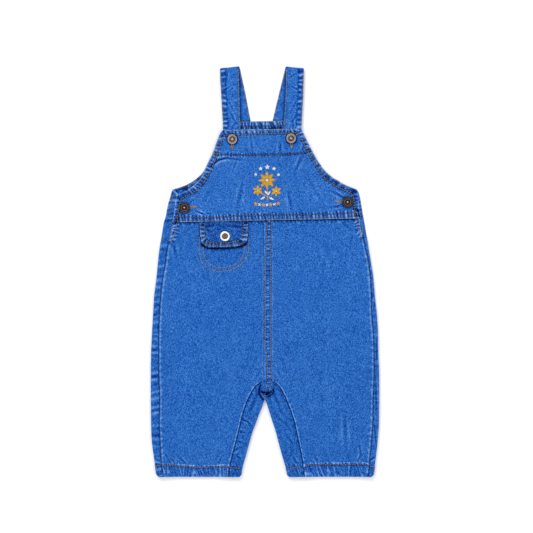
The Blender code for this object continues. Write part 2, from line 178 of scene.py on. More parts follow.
class Fold(NamedTuple):
    """A soft fold or a crease: its centre, half length, half width, turn in degrees and height."""

    x: float
    level: float
    along: float
    across: float
    turn: float
    height: float

    def shares(self, x: Numbers, level: Numbers) -> tuple[Array, Array]:
        """Finds how points lie on the fold.

        Args:
            x: the points' first coordinate.
            level: their second one.

        Returns:
            How far they are along it and beside it, in its own half lengths and half widths.
        """
        cosine, sine = math.cos(math.radians(self.turn)), math.sin(math.radians(self.turn))
        along = (x - self.x) * cosine + (level - self.level) * sine
        aside = (level - self.level) * cosine - (x - self.x) * sine
        return along / self.along, aside / self.across


def rows_of(kind: type, *rows: tuple[float, ...]) -> list:
    """The rows of a table with named columns."""
    return [kind(*row) for row in rows]


FRONT_BIB = rows_of(
    Outline,
    (170.3, -50.2, 43.2), (168.6, -52.4, 44.1), (160, -56.4, 48.1), (142, -63.1, 57.1),
    (131, -68.6, 63.5), (122, -72.9, 69.7), (117, -75, 74.2), (111, -79.2, 81.3),
    (107, -82.9, 87.6), (102, -89.1, 95.8), (98, -95.6, 105), (95.6, -101.2, 110),
    (94, -104.8, 110.8), (87, -107.2, 111.7), (78, -108.1, 112.3), (69, -109.2, 113.4),
    (61.3, -110.9, 114.5),
)

BACK_BIB = rows_of(
    Outline,
    (180.3, -41, 33.4), (168, -45.2, 37.6), (156, -50.8, 44), (144, -58.4, 51.5),
    (129.3, -69.4, 61), (123.2, -72.4, 66.4), (117.8, -77, 71.4), (110.6, -85.5, 80),
    (105.3, -95.4, 88), (102.5, -103.6, 93.4), (100.4, -110.9, 99), (97, -112.2, 107.2),
    (94.6, -112.9, 111), (90.6, -114, 112.8), (83.4, -116.2, 114.4), (76.3, -117.6, 115.6),
    (69.1, -119, 116.8), (62, -121.1, 118),
)

POCKET_FLAP = rows_of(
    Outline,
    (61, -78.3, -20.2), (46, -77.5, -20.5), (40, -76.8, -21.2), (35.4, -75.2, -22.8),
    (32.4, -72.6, -27), (30.8, -69, -34.5), (29.9, -62, -44),
)

SIDES = rows_of(
    SideRow,
    (70.3, -118.8, -109.1, 113.3, 116.8), (62, -121.1, -110.8, 114.4, 118),
    (54, -122.5, -112.2, 115.6, 119.4), (46, -123.8, -114.3, 116.7, 120.7),
    (40, -124.7, -115.2, 117.4, 121.8), (30, -126.3, -116.9, 119.6, 123.5),
    (11, -128.3, -119.1, 124, 126.9), (-8, -130.1, -122.4, 126.3, 129.8),
    (-29, -132.8, -124.8, 127.4, 131.6), (-52, -134.2, -126.5, 127.9, 134),
    (-77, -135.6, -127.3, 130.1, 135.5), (-99, -136.6, -127.4, 130.8, 135.9),
    (-122, -136.9, -127.2, 130.8, 136.8), (-150, -136.9, -126.3, 129.8, 136.9),
    (-180, -136.6, -126.6, 129.2, 136.6), (-204, -135.6, -125.7, 127.5, 134.9),
    (-226, -132.6, -124.4, 125.4, 132.4), (-240, -130.9, -122.7, 124.3, 131),
    (-243.6, -129.9, -122, 124, 130.2), (-246, -127.6, -121.6, 123.8, 127.9),
)

INNER_LEGS = rows_of(
    InnerRow,
    (-132.9, -5.3, -0.2, 0.2, 11.6), (-138.6, -11.9, -0.2, 0.2, 17.5), (-148.2, -17.8, -0.2, 0.2, 22.9),
    (-152.5, -19.9, -0.3, 0.3, 24.9), (-158, -22.2, -2, 2, 27.2), (-164, -24.3, -4.2, 3.9, 29.6),
    (-172, -26.8, -7.4, 6.4, 32.4), (-180, -28.9, -10.2, 9, 35), (-193, -31.8, -15.2, 13.2, 37.7),
    (-207, -35.4, -19.2, 16.8, 40.7), (-221, -39.2, -23, 20.6, 43.7), (-236, -42.6, -27.2, 25, 46.1),
    (-243.6, -43.4, -28.3, 26.4, 47), (-246, -43.6, -30.4, 28.6, 47.3),
)

# The largest soft folds of the two front legs
LEG_FOLDS = rows_of(
    Fold,
    (-96, 20, 46, 9, 78, 0.5), (-70, -60, 60, 15, 96, 0.6),
    (-34, -112, 34, 9, 62, 0.7), (-96, -170, 52, 14, 84, 0.5),
    (48, 28, 40, 11, 100, 0.5), (88, -48, 62, 15, 86, 0.6),
    (44, -114, 34, 9, 118, 0.7), (92, -176, 48, 13, 95, 0.5),
)


class Curve:
    """A smooth curve through (place, value) knots that never overshoots them."""

    def __init__(self, knots: Sequence[tuple[float, float]]) -> None:
        """Works out the slope at each knot.

        Args:
            knots: the places and the curve's values there, in any order.
        """
        self.places, self.values = np.array(sorted(knots), dtype=float).T
        chords = np.diff(self.values) / np.diff(self.places)
        product = chords[:-1] * chords[1:]
        total = np.where(chords[:-1] + chords[1:] == 0, 1.0, chords[:-1] + chords[1:])
        middle = np.where(product > 0, 2 * product / total, 0.0)
        self.slopes = np.concatenate([chords[:1], middle, chords[-1:]])

    def at(self, place: Numbers) -> Array:
        """Reads the curve.

        Args:
            place: where to read it; beyond the knots it keeps its end value.

        Returns:
            The value at each place.
        """
        place = np.clip(place, self.places[0], self.places[-1])
        index = np.clip(np.searchsorted(self.places, place) - 1, 0, len(self.places) - 2)
        span = self.places[index + 1] - self.places[index]
        part = (place - self.places[index]) / span
        low = self.values[index]
        rise = self.values[index + 1] - low
        start = self.slopes[index] * span
        end = self.slopes[index + 1] * span
        bend = start + end - 2 * rise
        return low + part * (start + part * ((rise - start - bend) + part * bend))

    def slope(self, place: Numbers) -> Array:
        """The curve's mean slope close to each place."""
        return (self.at(place + SLOPE_REACH) - self.at(place - SLOPE_REACH)) / (2 * SLOPE_REACH)

    def beside(self, x: Numbers, level: Numbers) -> Array:
        """How far a point is from the edge that the curve gives, square to it."""
        return np.abs(x - self.at(level)) / np.hypot(1, self.slope(level))

    def inset(self, distance: float, heights: Sequence[float]) -> "Line":
        """The line that follows the edge at a distance, which is above 0 towards X."""
        return Line(*[(self.at(at) + distance * np.hypot(1, self.slope(at)), at) for at in heights])


def soft_step(start: float, end: float, value: Numbers) -> Array:
    """A step from 0 at start to 1 at end, with a soft turn at both."""
    part = np.clip((value - start) / (end - start), 0.0, 1.0)
    return part * part * (3 - 2 * part)


def bump_at(value: Numbers, middle: float, width: float) -> Array:
    """A round bump of height 1 at middle, which fades over about width."""
    return np.exp(-(((value - middle) / width) ** 2))


def lie(x: Numbers, level: Numbers) -> Array:
    """The y of a point of the garment, which turns a little above the hips."""
    return level + TILT * x * soft_step(TILT_FROM, TILT_FULL, level)


def level_of(x: Numbers, y: Numbers) -> Array:
    """The level of a point above the hips, where the garment has its whole turn."""
    return y - TILT * x


def band(distance: Numbers, width: float, rise: float = HEM_RISE) -> Array:
    """What a turned hem or a felled seam of a width adds, by the distance from its edge."""
    return rise * (1 - soft_step(width, width + BAND_STEP, distance))


def heading(turn: float) -> Array:
    """The step of length 1 in a direction, in degrees from X."""
    return np.array([math.cos(math.radians(turn)), math.sin(math.radians(turn))])


class Side(Enum):
    """The two sides of the garment, as seen from above."""

    LEFT = "left"
    RIGHT = "right"

    @property
    def outward(self) -> int:
        """The way from the middle to this side, along X."""
        return -1 if self is Side.LEFT else 1

    def curve(self, table: Sequence[NamedTuple], column: str = "") -> Curve:
        """The curve of this side's column of a table against its levels."""
        return Curve([(row.y, getattr(row, column + self.value)) for row in table])


class Line:
    """A smooth line over a piece, in the piece's own two coordinates."""

    SPACING = 1.2

    def __init__(self, *knots: tuple[float, float]) -> None:
        """Runs a smooth line through the knots.

        Args:
            knots: the points that it passes, in order.
        """
        marks = np.array(knots, dtype=float)
        run = np.concatenate([[0.0], np.cumsum(np.hypot(*np.diff(marks, axis=0).T))])
        places = np.linspace(0, run[-1], max(2, int(run[-1] / self.SPACING) + 1))
        both = [Curve(list(zip(run, marks[:, axis]))).at(places) for axis in (0, 1)]
        self.points = np.stack(both, axis=1)
        self.steps = np.diff(self.points, axis=0)
        self.lengths = np.hypot(*self.steps.T)
        self.run = np.concatenate([[0.0], np.cumsum(self.lengths)])

    def at(self, along: Array) -> tuple[Array, Array]:
        """The two coordinates of the points at these places along the line."""
        return np.interp(along, self.run, self.points[:, 0]), np.interp(along, self.run, self.points[:, 1])

    def near(self, x: Array, level: Array, reach: float) -> tuple[Array, Array]:
        """Finds how points lie beside the line.

        Args:
            x: the points' first coordinate.
            level: their second one.
            reach: how far round the line to look.

        Returns:
            Each point's gap to the line, positive on the left of its run, and its place along the line.
        """
        gap = np.full(x.shape, 1000.0)
        along = np.zeros(x.shape)
        low, high = self.points.min(axis=0) - reach, self.points.max(axis=0) + reach
        inside = (x > low[0]) & (x < high[0]) & (level > low[1]) & (level < high[1])
        chosen = np.flatnonzero(inside)
        for part in np.array_split(chosen, max(1, len(chosen) // 3000)):
            if len(part) == 0:
                continue
            points = np.stack([x.flat[part], level.flat[part]], axis=1)
            offset = points[:, None, :] - self.points[None, :-1]
            share = np.clip((offset * self.steps).sum(axis=-1) / self.lengths ** 2, 0, 1)
            squares = ((offset - share[..., None] * self.steps) ** 2).sum(axis=-1)
            best = squares.argmin(axis=1)
            rows = np.arange(len(part))
            turn = self.steps[best, 0] * offset[rows, best, 1] - self.steps[best, 1] * offset[rows, best, 0]
            gap.flat[part] = np.sqrt(squares[rows, best]) * np.where(turn >= 0, 1, -1)
            along.flat[part] = self.run[best] + share[rows, best] * self.lengths[best]
        return gap, along

    def closeness(self, x: Array, level: Array, width: float) -> Array:
        """1 for points on the line, fading over about width beside it."""
        return np.exp(-((self.near(x, level, 4 * width)[0] / width) ** 2))


@dataclass(frozen=True)
class Puckers:
    """Uneven little ridges and troughs where a seam draws the cloth up.

    They run across the seam, from `before` on its right to `after` on its left.
    """

    spacing: float
    height: float
    before: float
    after: float
    slant: float = 0.4
    seed: int = 1

    def over(self, gap: Array, along: Array) -> Array:
        """The ridges' height.

        Args:
            gap: how far each point is from the seam, positive on its left.
            along: each point's place along the seam.

        Returns:
            The height, above and below the smooth cloth.
        """
        draw = np.random.default_rng(self.seed)
        count = int((np.max(along) + 40) / self.spacing) + 6
        spaces = self.spacing * draw.uniform(0.72, 1.28, count)
        places = np.cumsum(spaces) - 20
        heights = draw.uniform(0.5, 1.0, count)
        widths = spaces * draw.uniform(0.2, 0.31, count)
        leans = draw.uniform(-1.0, 1.0, count) * self.slant + self.slant * 0.4
        reaches = draw.uniform(0.6, 1.1, count)
        ticks = np.arange(-20.0, np.max(along) + 25, 0.25)
        wave = np.zeros(ticks.shape)
        for place, height, width in zip(places, heights, widths):
            wave += height * bump_at(ticks, place, width)
        wave -= wave.mean() * 1.15
        shifted = along + gap * np.interp(along, places, leans)
        reach = np.where(gap > 0, self.after, self.before) * np.interp(along, places, reaches)
        fade = 1 - soft_step(0.55, 1.0, np.abs(gap) / np.maximum(reach, 0.05))
        return self.height * np.interp(shifted, ticks, wave) * fade


def folds_over(folds: Sequence[Fold], x: Numbers, level: Numbers) -> Array:
    """What soft folds add.

    Args:
        folds: the folds.
        x: where to read them.
        level: the same along the garment.

    Returns:
        The height at each point.
    """
    total = np.zeros(np.broadcast(x, level).shape)
    for fold in folds:
        along, aside = fold.shares(x, level)
        total = total + fold.height * np.exp(-(along ** 2) - aside ** 2)
    return total


def creases_over(creases: Sequence[Fold], x: Numbers, level: Numbers) -> Array:
    """What creases add: each is a trough with a lower ridge on either side.

    Args:
        creases: the creases.
        x: where to read them.
        level: the same along the garment.

    Returns:
        The height at each point.
    """
    total = np.zeros(np.broadcast(x, level).shape)
    for crease in creases:
        along, aside = crease.shares(x, level)
        profile = -np.exp(-(aside ** 2)) + 0.55 * np.exp(-((np.abs(aside) - 1.9) ** 2))
        total = total + crease.height * profile * np.exp(-(along ** 2))
    return total


def mottle(x: Array, level: Array, size: float, seed: int) -> Array:
    """Uneven soft patches.

    Args:
        x: where to read them.
        level: the same along the garment.
        size: about how large they are.
        seed: the draw's seed.

    Returns:
        Values from -1 to 1.
    """
    count = 97
    lattice = np.random.default_rng(seed).uniform(-1, 1, (count, count))
    across, along = x / size + 400, level / size + 400
    column, row = np.floor(across).astype(int), np.floor(along).astype(int)
    part, rise = soft_step(0, 1, across - column), soft_step(0, 1, along - row)
    low, high = (
        lattice[column % count, at % count] * (1 - part) + lattice[(column + 1) % count, at % count] * part
        for at in (row, row + 1)
    )
    return low * (1 - rise) + high * rise


def wrinkles(seed: int, count: int, left: float, right: float, low: float, high: float) -> list[Fold]:
    """Draws faint soft wrinkles over a stretch of cloth.

    Args:
        seed: the draw's seed.
        count: how many.
        left: the stretch's lowest x.
        right: its highest x.
        low: its lowest level.
        high: its highest level.

    Returns:
        The wrinkles, mostly running down the cloth.
    """
    draw = np.random.default_rng(seed)
    return [
        Fold(
            draw.uniform(left, right), draw.uniform(low, high), draw.uniform(9, 26), draw.uniform(2.2, 5),
            draw.normal(90, 34), draw.uniform(-0.2, 0.24),
        )
        for _ in range(count)
    ]


def spread(*stretches: tuple[float, float, float]) -> Array:
    """Levels down a piece.

    Args:
        stretches: a first level, a last level and about how far apart they are.

    Returns:
        All the levels, each once.
    """
    found = [np.linspace(a, b, max(2, round(abs(a - b) / step) + 1)) for a, b, step in stretches]
    together = np.concatenate(found)
    return together[np.concatenate([[True], np.abs(np.diff(together)) > 0.02])]


class Shade:
    """A number that varies over a surface; arithmetic on it adds Math nodes."""

    def __init__(self, tree: bpy.types.NodeTree, socket: bpy.types.NodeSocket) -> None:
        """Wraps one output socket."""
        self.tree = tree
        self.socket = socket

    def _math(self, operation: str, first: "Term", second: "Term" = 0.0, clamp: bool = False) -> "Shade":
        """Adds a Math node.

        Args:
            operation: what the node does.
            first: its first operand.
            second: its second operand.
            clamp: whether the result is kept from 0 to 1.

        Returns:
            The node's result.
        """
        node = self.tree.nodes.new("ShaderNodeMath")
        node.operation = operation
        node.use_clamp = clamp
        for socket, operand in zip(node.inputs, (first, second)):
            if isinstance(operand, Shade):
                self.tree.links.new(operand.socket, socket)
            else:
                socket.default_value = operand
        return Shade(self.tree, node.outputs[0])

    def __add__(self, other: "Term") -> "Shade":
        """This plus another."""
        return self._math("ADD", self, other)

    __radd__ = __add__

    def __sub__(self, other: "Term") -> "Shade":
        """This less another."""
        return self._math("SUBTRACT", self, other)

    def __rsub__(self, other: "Term") -> "Shade":
        """Another less this."""
        return self._math("SUBTRACT", other, self)

    def __mul__(self, other: "Term") -> "Shade":
        """This times another."""
        return self._math("MULTIPLY", self, other)

    __rmul__ = __mul__

    def clamped(self) -> "Shade":
        """This, kept from 0 to 1."""
        return self._math("ADD", self, 0.0, clamp=True)

    def sine(self) -> "Shade":
        """The sine of this."""
        return self._math("SINE", self)


Term = Union[Shade, float]


class Recipe:
    """The nodes of one material, around a Principled shader."""

    def __init__(self, name: str) -> None:
        """Starts a material.

        Args:
            name: its name.
        """
        self.material = bpy.data.materials.new(name)
        self.material.use_nodes = True
        self.tree = self.material.node_tree
        self.shader = self.tree.nodes["Principled BSDF"]
        self.here = self.node("ShaderNodeTexCoord").outputs["Object"]

    def node(
        self, kind: str, settings: Optional[dict] = None, sockets: Optional[dict] = None
    ) -> bpy.types.Node:
        """Adds any node.

        Args:
            kind: the node's type.
            settings: its own settings, which are set first.
            sockets: values, links or shades for its inputs, by name or number.

        Returns:
            The node.
        """
        made = self.tree.nodes.new(kind)
        for name, value in (settings or {}).items():
            setattr(made, name, value)
        for name, value in (sockets or {}).items():
            self.feed(made.inputs[name], value)
        return made

    def feed(self, socket: bpy.types.NodeSocket, value: object) -> None:
        """Gives an input its value or its link.

        Args:
            socket: the input.
            value: a shade, an output socket, a colour or a number.
        """
        if isinstance(value, Shade):
            self.tree.links.new(value.socket, socket)
        elif isinstance(value, bpy.types.NodeSocket):
            self.tree.links.new(value, socket)
        elif isinstance(value, tuple) and len(value) == 3 and socket.type == "RGBA":
            socket.default_value = (*value, 1.0)
        else:
            socket.default_value = value

    def stretched(self, across: float, along: float, up: float, turn: float = 0.0) -> bpy.types.NodeSocket:
        """The place on the piece, counted in steps of these sizes.

        Args:
            across: the step along X.
            along: the step along Y.
            up: the step along Z.
            turn: how far the steps are turned about Z, in degrees.

        Returns:
            The output that carries the place.
        """
        turned = self.node(
            "ShaderNodeVectorRotate", {"rotation_type": "Z_AXIS"},
            {"Vector": self.here, "Angle": math.radians(turn)},
        )
        sizes = tuple(1 / (step * MM) for step in (across, along, up))
        sockets = {0: turned.outputs[0], 1: sizes}
        return self.node("ShaderNodeVectorMath", {"operation": "MULTIPLY"}, sockets).outputs[0]

    def noise(self, place: bpy.types.NodeSocket, detail: float = 2.0, roughness: float = 0.5) -> Shade:
        """Soft noise about 0, mostly from -1 to 1.

        Args:
            place: where it is read, in steps of the noise's size.
            detail: how many finer layers it has.
            roughness: how strong they are.

        Returns:
            The noise.
        """
        made = self.node("ShaderNodeTexNoise", None, {
            "Vector": place, "Scale": 1.0, "Detail": detail, "Roughness": roughness,
        })
        return (Shade(self.tree, made.outputs["Fac"]) - 0.5) * 4.0

    def wear(self) -> Shade:
        """The wear and painted shade that the mesh keeps at its points."""
        return Shade(self.tree, self.node("ShaderNodeAttribute", {"attribute_name": "wear"}).outputs["Fac"])

    def mix(self, share: Shade, first: object, second: object) -> bpy.types.NodeSocket:
        """Mixes two colours or links, with this share of the second one."""
        return self.node("ShaderNodeMix", {"data_type": "RGBA"}, {0: share, 6: first, 7: second}).outputs[2]

    def bump(self, height: Shade, strength: float, distance: float) -> bpy.types.NodeSocket:
        """Turns a height into a surface's small relief.

        Args:
            height: the height.
            strength: how much of it shows.
            distance: what a height of 1 is, in millimetres.

        Returns:
            The output that carries the normal.
        """
        sockets = {"Strength": strength, "Distance": distance * MM, "Height": height}
        return self.node("ShaderNodeBump", None, sockets).outputs["Normal"]

    def dress(self, sockets: dict) -> bpy.types.Material:
        """Feeds the shader.

        Args:
            sockets: values or links, by the shader's socket names.

        Returns:
            The finished material.
        """
        for name, value in sockets.items():
            self.feed(self.shader.inputs[name], value)
        return self.material


@dataclass(frozen=True)
class Denim:
    """Washed blue denim: a fine twill with flecks down the warp, pale where rubbed and with painted highlight
    on ridges, and painted shade in troughs down to painted black shadow.
    """

    name: str
    deep: Colour
    body: Colour
    light: Colour
    pale: Colour
    fleck: float
    shadow: Colour = (0.001, 0.002, 0.010)
    twill_pitch: float = 0.7

    def material(self) -> bpy.types.Material:
        """Builds the denim, whose tone also follows each mesh's own wear and painted light and shade.

        Returns:
            The material.
        """
        recipe = Recipe(self.name)
        streak = recipe.noise(recipe.stretched(0.62, 1.5, 0.8, 6), 1.0, 0.6)
        speck = recipe.noise(recipe.stretched(0.52, 0.62, 0.55, 38), 1.0)
        cloud = recipe.noise(recipe.stretched(9, 13, 9), 2.0)
        patch = recipe.noise(recipe.stretched(34, 52, 30), 1.0)
        turned = recipe.stretched(self.twill_pitch, self.twill_pitch, self.twill_pitch, 62.0)
        split = recipe.node("ShaderNodeSeparateXYZ", None, {0: turned})
        twill = (Shade(recipe.tree, split.outputs[0]) * math.tau).sine()
        wear = recipe.wear()
        uneven = (streak * 0.60 + speck * 0.46) * self.fleck + cloud * 0.05 + patch * 0.02
        # The tone follows the mesh's wear and painted shade, so painted shade deepens it towards the deep
        # colour
        tone = uneven + twill * 0.05 + wear * 0.5 + 0.5
        lower = (tone * 2.0).clamped()
        upper = (tone * 1.3 - 0.65).clamped()
        # The pale colour's share: rubbed wear and painted highlight on ridges
        worn_and_highlit = ((wear + uneven * 0.7) * 0.5 - 0.12).clamped()
        flecked_and_shaded = recipe.mix(upper, recipe.mix(lower, self.deep, self.body), self.light)
        # The share of painted black shadow, where the painted shade is deepest
        shadowed = (wear * -1.1 - 1.15).clamped()
        height = twill * 0.5 + streak * 0.4 + speck * 0.3
        return recipe.dress({
            "Base Color": recipe.mix(shadowed, recipe.mix(worn_and_highlit, flecked_and_shaded, self.pale), self.shadow),
            "Roughness": 0.92 - upper * 0.08,
            "Normal": recipe.bump(height, 0.6, 0.12),
            "Specular IOR Level": 0.06,
            "Sheen Weight": 0.03,
            "Sheen Roughness": 0.45,
            "Sheen Tint": (0.6, 0.8, 1, 1),
        })


@dataclass(frozen=True)
class Thread:
    """Sewing thread: matt, with a little unevenness of tone from stitch to stitch."""

    name: str
    dark: Colour
    light: Colour

    def material(self) -> bpy.types.Material:
        """Builds the thread's finish.

        Returns:
            The material.
        """
        recipe = Recipe(self.name)
        drift = recipe.noise(recipe.stretched(2.2, 2.2, 2.2), 1.0)
        twist = recipe.noise(recipe.stretched(0.22, 0.22, 0.22, 30), 1.0)
        share = (drift * 0.4 + twist * 0.25 + 0.55).clamped()
        return recipe.dress({
            "Base Color": recipe.mix(share, self.dark, self.light),
            "Roughness": 0.7 - share * 0.12,
            "Normal": recipe.bump(twist, 0.5, 0.08),
            "Specular IOR Level": 0.3,
        })


@dataclass(frozen=True)
class CastMetal:
    """Antiqued cast metal: dark in its grooves, bright where it has been rubbed."""

    name: str
    groove: Colour
    face: Colour
    rubbed: Colour

    def material(self) -> bpy.types.Material:
        """Builds the metal's finish, whose tone follows each mesh's own wear and painted shade.

        Returns:
            The material.
        """
        recipe = Recipe(self.name)
        stain = recipe.noise(recipe.stretched(1.4, 1.4, 1.4), 3.0, 0.6)
        grain = recipe.noise(recipe.stretched(0.35, 0.35, 0.35), 2.0)
        tone = recipe.wear() * 0.5 + stain * 0.12 + grain * 0.05 + 0.5
        lower = (tone * 2.0).clamped()
        upper = (tone * 2.0 - 1.0).clamped()
        return recipe.dress({
            "Base Color": recipe.mix(upper, recipe.mix(lower, self.groove, self.face), self.rubbed),
            "Roughness": 0.62 - upper * 0.22,
            "Metallic": 0.85,
            "Normal": recipe.bump(grain + stain, 0.4, 0.05),
        })


class Threads(Enum):
    """The thread colours of the garment."""

    TAN = Thread("tan_thread", (0.095, 0.085, 0.050), (0.29, 0.255, 0.13))
    BROWN = Thread("brown_thread", (0.024, 0.019, 0.016), (0.16, 0.130, 0.080))
    ORANGE = Thread("orange_thread", (0.040, 0.030, 0.022), (0.36, 0.225, 0.05))
    GOLD = Thread("gold_thread", (0.14, 0.095, 0.030), (0.48, 0.31, 0.055))
    MUSTARD = Thread("mustard_thread", (0.42, 0.23, 0.012), (0.70, 0.42, 0.035))
    WHITE = Thread("white_thread", (0.55, 0.58, 0.60), (0.86, 0.88, 0.88))
    BLUE = Thread("blue_thread", (0.012, 0.05, 0.20), (0.03, 0.11, 0.36))


BLUE_DENIM = Denim(
    "blue_denim", (0.0005, 0.013, 0.140), (0.0088, 0.114, 0.470), (0.078, 0.240, 0.57),
    (0.30, 0.48, 0.74), 1.0,
)
DARK_DENIM = Denim(
    "dark_blue_denim", (0.0003, 0.006, 0.062), (0.0026, 0.067, 0.370), (0.042, 0.185, 0.54),
    (0.20, 0.40, 0.70), 1.35,
)


@lru_cache(maxsize=None)
def material_of(finish: Union[Denim, Thread, CastMetal]) -> bpy.types.Material:
    """The material of a finish, which is built the first time."""
    return finish.material()


def new_object(name: str, points: Array, faces: list, material: bpy.types.Material) -> bpy.types.Object:
    """Makes a smooth mesh object.

    Args:
        name: its name.
        points: rows of three, in millimetres.
        faces: each face's points.
        material: its finish.

    Returns:
        The object.
    """
    data = bpy.data.meshes.new(name)
    data.from_pydata((points * MM).tolist(), [], faces)
    data.shade_smooth()
    data.materials.append(material)
    item = bpy.data.objects.new(name, data)
    bpy.context.scene.collection.objects.link(item)
    return item


def put_on(item: bpy.types.Object, node: str = "") -> None:
    """Sets a piece on the garment's one body, in place of a solid where a node is given.

    Args:
        item: the piece.
        node: the solid that it replaces.
    """
    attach(item, "root")
    if node:
        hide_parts(node)
    log.info("%s: %d points", item.name, len(item.data.vertices))


class PieceMesh:
    """Grids of points joined into one closed piece, each point with its wear and painted shade."""

    def __init__(self) -> None:
        """Starts with no points."""
        self.points: list[Array] = []
        self.wear: list[Array] = []
        self.quads: list[Array] = []
        self.fans: list[list[int]] = []
        self.count = 0

    def grid(self, points: Array, wear: Numbers = 0.0) -> Array:
        """Adds a grid of points.

        Args:
            points: rows by columns by three.
            wear: the wear and painted shade at each.

        Returns:
            The points' numbers, rows by columns.
        """
        shape = points.shape[:2]
        numbers = np.arange(self.count, self.count + shape[0] * shape[1]).reshape(shape)
        self.points.append(points.reshape(-1, 3))
        self.wear.append(np.broadcast_to(wear, shape).reshape(-1))
        self.count += numbers.size
        return numbers

    def skin(self, numbers: Array) -> None:
        """Adds a face between each four neighbours of a grid."""
        corners = numbers[:-1, :-1], numbers[:-1, 1:], numbers[1:, 1:], numbers[1:, :-1]
        self.quads.append(np.stack(corners, axis=-1).reshape(-1, 4))

    def joined(self, first: Array, second: Array) -> None:
        """Adds a row of faces between two chains of points."""
        self.skin(np.stack([first, second]))

    def fan(self, middle: int, ring: Array) -> None:
        """Closes a ring with triangles round a point."""
        self.fans += [[middle, int(a), int(b)] for a, b in zip(ring, np.roll(ring, -1))]

    def wall(self, outer: Array, inner: Array) -> None:
        """Skins two grids and closes the four edges between them.

        Args:
            outer: the outer side's numbers.
            inner: the inner side's numbers.
        """
        self.skin(outer)
        self.skin(inner)
        for edge in (np.s_[0], np.s_[-1], np.s_[:, 0], np.s_[:, -1]):
            self.joined(outer[edge], inner[edge])

    def made(self, name: str, finish: Union[Denim, CastMetal]) -> bpy.types.Object:
        """Makes the object.

        Args:
            name: its name.
            finish: its finish.

        Returns:
            The piece, with its wear and painted shade kept at its points.
        """
        faces = np.concatenate(self.quads).tolist() + self.fans
        item = new_object(name, np.concatenate(self.points), faces, material_of(finish))
        mesh = bmesh.new()
        mesh.from_mesh(item.data)
        bmesh.ops.recalc_face_normals(mesh, faces=mesh.faces[:])
        mesh.to_mesh(item.data)
        mesh.free()
        keep = item.data.attributes.new("wear", "FLOAT", "POINT")
        keep.data.foreach_set("value", np.concatenate(self.wear).astype(np.float32))
        return item


class Strands:
    """Short raised threads, gathered into one mesh: stitches, satin fillings and bars."""

    RINGS = (0.06, 0.25, 0.5, 0.75, 0.94)
    SIDES = 6

    def __init__(self) -> None:
        """Starts with no threads."""
        self.parts: list[tuple[Array, ...]] = []

    def add(self, start: Array, end: Array, width: float, arch: Numbers) -> None:
        """Adds threads.

        Args:
            start: where each begins, as rows of three.
            end: where each ends.
            width: how thick they are.
            arch: how high their middles stand.
        """
        each = np.ones((len(start), 1))
        self.parts.append((start, end, each * width, each * np.reshape(arch, (-1, 1))))

    def made(self, name: str, thread: Threads) -> bpy.types.Object:
        """Makes one object of all the threads.

        Args:
            name: its name.
            thread: its colour.

        Returns:
            The piece.
        """
        start, end, width, arch = (np.concatenate(part) for part in zip(*self.parts))
        run = end - start
        run /= np.maximum(np.linalg.norm(run, axis=1, keepdims=True), 1e-6)
        beside = np.cross(run, (0, 0, 1))
        beside /= np.maximum(np.linalg.norm(beside, axis=1, keepdims=True), 1e-6)
        out = np.cross(beside, run)
        rings = []
        for share in self.RINGS:
            middle = start + (end - start) * share + out * arch * math.sin(math.pi * share) ** 0.7
            girth = width / 2 * math.sin(math.pi * share) ** 0.45
            for turn in np.arange(self.SIDES) * math.tau / self.SIDES:
                rings.append(middle + beside * girth * math.cos(turn) + out * girth * 0.8 * math.sin(turn))
        each = np.stack([*rings, start - out * 0.12, end - out * 0.12], axis=1)
        offsets = np.arange(len(start))[:, None, None] * each.shape[1]
        faces = []
        for part in self._faces():
            faces += (part + offsets).reshape(-1, part.shape[1]).tolist()
        item = new_object(name, each.reshape(-1, 3), faces, material_of(thread.value))
        put_on(item)
        return item

    def _faces(self) -> tuple[Array, Array]:
        """The faces of one thread.

        Returns:
            Its quads between rings, and its triangles at the two tips.
        """
        quads, fans = [], []
        last = len(self.RINGS) - 1
        first_tip = len(self.RINGS) * self.SIDES
        for side in range(self.SIDES):
            other = (side + 1) % self.SIDES
            for low in range(0, last * self.SIDES, self.SIDES):
                high = low + self.SIDES
                quads.append((low + side, high + side, high + other, low + other))
            fans.append((first_tip, side, other))
            fans.append((first_tip + 1, last * self.SIDES + other, last * self.SIDES + side))
        return np.array(quads), np.array(fans)

    def bar(self, surface: Surface, x: float, level: float, turn: float, length: float) -> None:
        """Adds a bar tack: short threads packed side by side.

        Args:
            surface: gives the piece's points.
            x: the middle's first coordinate.
            level: the middle's second coordinate.
            turn: the bar's direction, in degrees from X.
            length: how long the bar is.
        """
        way = heading(turn)
        side = np.array([-way[1], way[0]]) * 0.8
        places = np.arange(-length / 2, length / 2, 0.5)[:, None] * way + (x, level)
        self.add(surface(*(places - side).T), surface(*(places + side).T), 0.55, 0.4)


class Mark(NamedTuple):
    """How strongly a seam marks the cloth along its line, and how wide."""

    depth: float
    width: float = 1.0


UNMARKED = Mark(0.0)


@dataclass(frozen=True)
class Seam:
    """A sewn line: its stitches, and how it draws the cloth up, sinks into it and paints shade along it."""

    line: Line
    thread: Optional[Threads] = Threads.TAN
    width: float = 1.0
    stitch: float = 2.6
    space: float = 0.35
    puckers: Optional[Puckers] = None
    reach: float = 9.0
    groove: Mark = UNMARKED
    tone: Mark = UNMARKED

    def lay(self, strands: Strands, surface: Surface) -> None:
        """Lays the stitches on a piece.

        Args:
            strands: where the threads are gathered.
            surface: gives the points of the piece for its two coordinates.
        """
        starts = np.arange(0.4, max(self.line.run[-1] - self.stitch, 0.5), self.stitch + self.space)
        first, middle, last = (surface(*self.line.at(starts + self.stitch * part)) for part in (0, 0.5, 1))
        arch = np.clip(middle[:, 2] - (first[:, 2] + last[:, 2]) / 2, -0.1, 0.6) + 0.18
        strands.add(first, last, self.width, arch)


